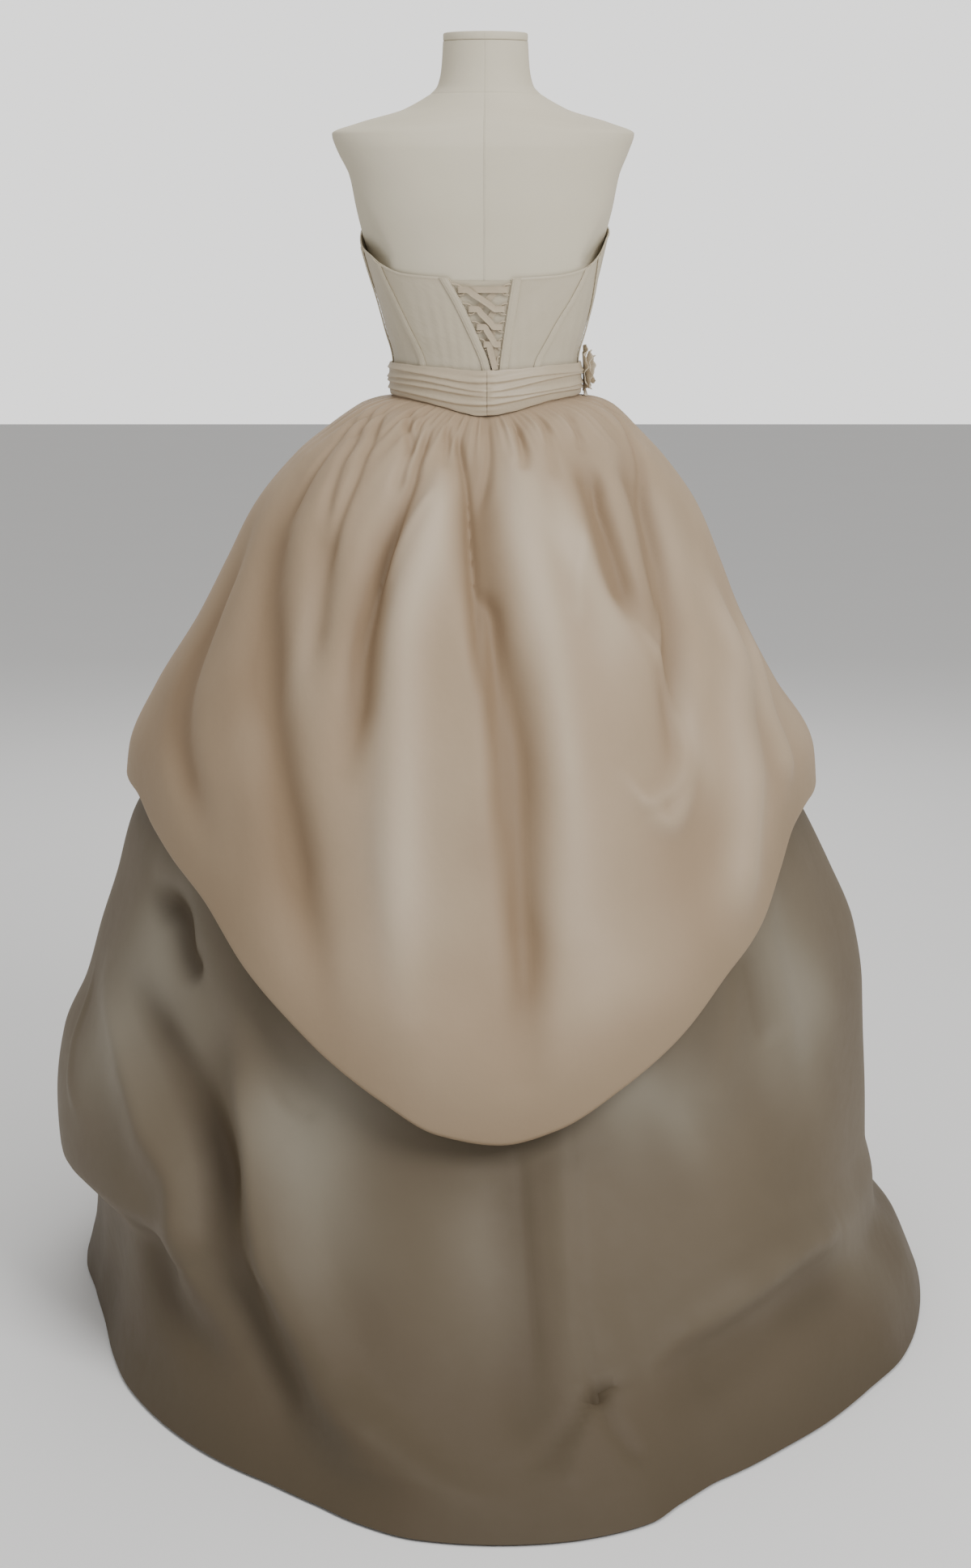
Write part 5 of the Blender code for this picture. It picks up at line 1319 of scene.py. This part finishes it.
class DRESS_OT_skirt(bpy.types.Operator):
    """Make the skirt with its sweep train. Its radius is a smooth table of ovals by height, shaped again by
    the plan of the hem near the floor, with broad and fine folds along its own facing."""

    bl_idname = "dress.skirt"
    bl_label = "Make the skirt"

    def execute(self, context):
        colours = context.scene.dress_colours
        sizes = context.scene.dress_sizes
        # The attributes light, deep and low turn the satin towards a painted highlight, painted shade in the fold
        # valleys and painted shade towards the floor.
        lines = [("light", colours.skirt_painted_highlight), ("deep", colours.skirt_painted_shade), ("low", colours.skirt_painted_floor_shade)]
        satin = cloth_finish("skirt_satin", colours.skirt, colours.skirt_dark, 0.62, 0.25, 800.0, 0.0006, 5.0, lines)
        heights = share_rows([SKIRT_TOP, 1.110, 0.700, 0.055, HEM_HEIGHT], [6, 24, 118, 22])
        radius = skirt_radius(np.full(len(heights), 0.5 * np.pi), heights)
        for name, first, last, columns, flat, area in SKIRT_CUTS:
            angle = spread_angles(first, last, columns, radius)
            drop = np.repeat(SKIRT_TOP - heights[:, None], columns, axis=1)
            points = skirt_plain(angle, drop)
            depth = fold_depth(points, SKIRT_FOLDS, skirt_radius)
            depth = depth + sizes.fold_sharpness * fine_depth(points, FINE_SKIRT, skirt_radius)
            drift = np.sin(11.0 * angle + 9.0 * points[..., 2]) * np.sin(6.0 * angle - 14.0 * points[..., 2])
            depth = depth + 0.0028 * drift * np.clip((0.66 - points[..., 2]) / 0.1, 0.0, 1.0)
            depth = depth * np.clip((points[..., 2] - HEM_HEIGHT) / 0.030, 0.0, 1.0)
            outward = facing(skirt_plain, angle, np.minimum(drop, SKIRT_TOP - HEM_HEIGHT - 1e-4))
            outer = points + depth[..., None] * outward
            # Painted shade: darker towards the floor, below 0.30 m.
            low = np.clip((0.30 - points[..., 2]) / 0.30, 0.0, 1.0) ** 1.6
            # Painted highlights: the listed bright patches, fainter near the floor.
            light = patch_share(angle, points[..., 2], SKIRT_PAINTED_HIGHLIGHTS) * (1.0 - 0.6 * low)
            # Painted shade in the fold valleys.
            deep = np.clip(-depth / 0.024, 0.0, 0.9)
            tones = {"light": light, "deep": deep, "low": 0.9 * low}
            item = cloth_wall(name + "_cloth", outer, sizes.cloth_thickness, satin, tones, 0.0008)
            finish_piece(item, [name])
        return {"FINISHED"}


class DRESS_OT_stage(bpy.types.Operator):
    """Make the plain pale floor, the soft lights and the camera."""

    bl_idname = "dress.stage"
    bl_label = "Make the stage"

    def execute(self, context):
        scene = context.scene
        reach = scene.dress_sizes.floor_size
        make = Shading("pale_floor")
        places = make.add("TexCoord").outputs["Object"]
        noise = make.add("TexNoise", Vector=places, Scale=3.0, Detail=3.0)
        tone = scene.dress_colours.floor
        make.put(make.shader, "Base Color", make.blend(noise.outputs["Fac"], tone, [0.98 * c for c in tone]))
        make.put(make.shader, "Roughness", 0.8)
        corners = reach * np.array([[-1.0, -1.0, 0.0], [1.0, -1.0, 0.0], [1.0, 1.0, 0.0], [-1.0, 1.0, 0.0]])
        corners[:, 2] = -0.0002
        floor = build_mesh("floor", corners, [np.array([[0, 1, 2, 3]])], make.material)
        world = bpy.data.worlds.new("soft_studio")
        world.use_nodes = True
        sky = world.node_tree.nodes["Background"]
        sky.inputs[0].default_value = (1.0, 0.990, 0.975, 1.0)
        sky.inputs[1].default_value = WORLD_LIGHT
        seen = world.node_tree.nodes.new("ShaderNodeBackground")
        seen.inputs[0].default_value = (1.0, 0.995, 0.985, 1.0)
        seen.inputs[1].default_value = WORLD_SEEN
        path = world.node_tree.nodes.new("ShaderNodeLightPath")
        mix = world.node_tree.nodes.new("ShaderNodeMixShader")
        links = world.node_tree.links
        links.new(path.outputs["Is Camera Ray"], mix.inputs[0])
        links.new(sky.outputs[0], mix.inputs[1])
        links.new(seen.outputs[0], mix.inputs[2])
        links.new(mix.outputs[0], world.node_tree.nodes["World Output"].inputs["Surface"])
        scene.world = world
        for name, place, turn, size, power in LIGHTS:
            lamp = bpy.data.lights.new(name, "AREA")
            lamp.size = size
            lamp.energy = power
            item = bpy.data.objects.new(name, lamp)
            item.location = place
            item.rotation_euler = [math.radians(value) for value in turn]
            scene.collection.objects.link(item)
        lens = bpy.data.cameras.new("camera")
        lens.sensor_width = 36.0
        lens.lens = 36.0 * CAMERA_FOCUS / 1938.0
        lens.clip_end = 100.0
        camera = bpy.data.objects.new("camera", lens)
        camera.location = CAMERA_PLACE
        camera.rotation_euler = (math.radians(90.0 - CAMERA_PITCH), 0.0, 0.0)
        scene.collection.objects.link(camera)
        scene.camera = camera
        return {"FINISHED"}


STEPS = [DRESS_OT_stage, DRESS_OT_stand, DRESS_OT_form, DRESS_OT_corset, DRESS_OT_lacing, DRESS_OT_sash,
         DRESS_OT_rosette, DRESS_OT_overskirt, DRESS_OT_skirt]


class DRESS_PT_panel(bpy.types.Panel):
    """Sizes, colours and steps of the dress."""

    bl_idname = "DRESS_PT_panel"
    bl_label = "Corset dress"
    bl_space_type = "VIEW_3D"
    bl_region_type = "UI"
    bl_category = "Dress"

    def draw(self, context):
        for group in (context.scene.dress_sizes, context.scene.dress_colours):
            box = self.layout.box()
            for name in group.__annotations__:
                box.prop(group, name)
        for step in STEPS:
            self.layout.operator(step.bl_idname)


CLASSES = [DressSizes, DressColours, *STEPS, DRESS_PT_panel]


def register():
    """Register the classes and hang the two groups of settings on the scene."""
    for item in CLASSES:
        bpy.utils.register_class(item)
    bpy.types.Scene.dress_sizes = bpy.props.PointerProperty(type=DressSizes)
    bpy.types.Scene.dress_colours = bpy.props.PointerProperty(type=DressColours)


def unregister():
    """Take the settings off the scene and unregister the classes."""
    del bpy.types.Scene.dress_colours
    del bpy.types.Scene.dress_sizes
    for item in reversed(CLASSES):
        bpy.utils.unregister_class(item)


def main():
    """Register the add-on and run every step in order."""
    register()
    bpy.ops.dress.stage()
    bpy.ops.dress.stand()
    bpy.ops.dress.form()
    bpy.ops.dress.corset()
    bpy.ops.dress.lacing()
    bpy.ops.dress.sash()
    bpy.ops.dress.rosette()
    bpy.ops.dress.overskirt()
    bpy.ops.dress.skirt()


if __name__ == "__main__":
    main()
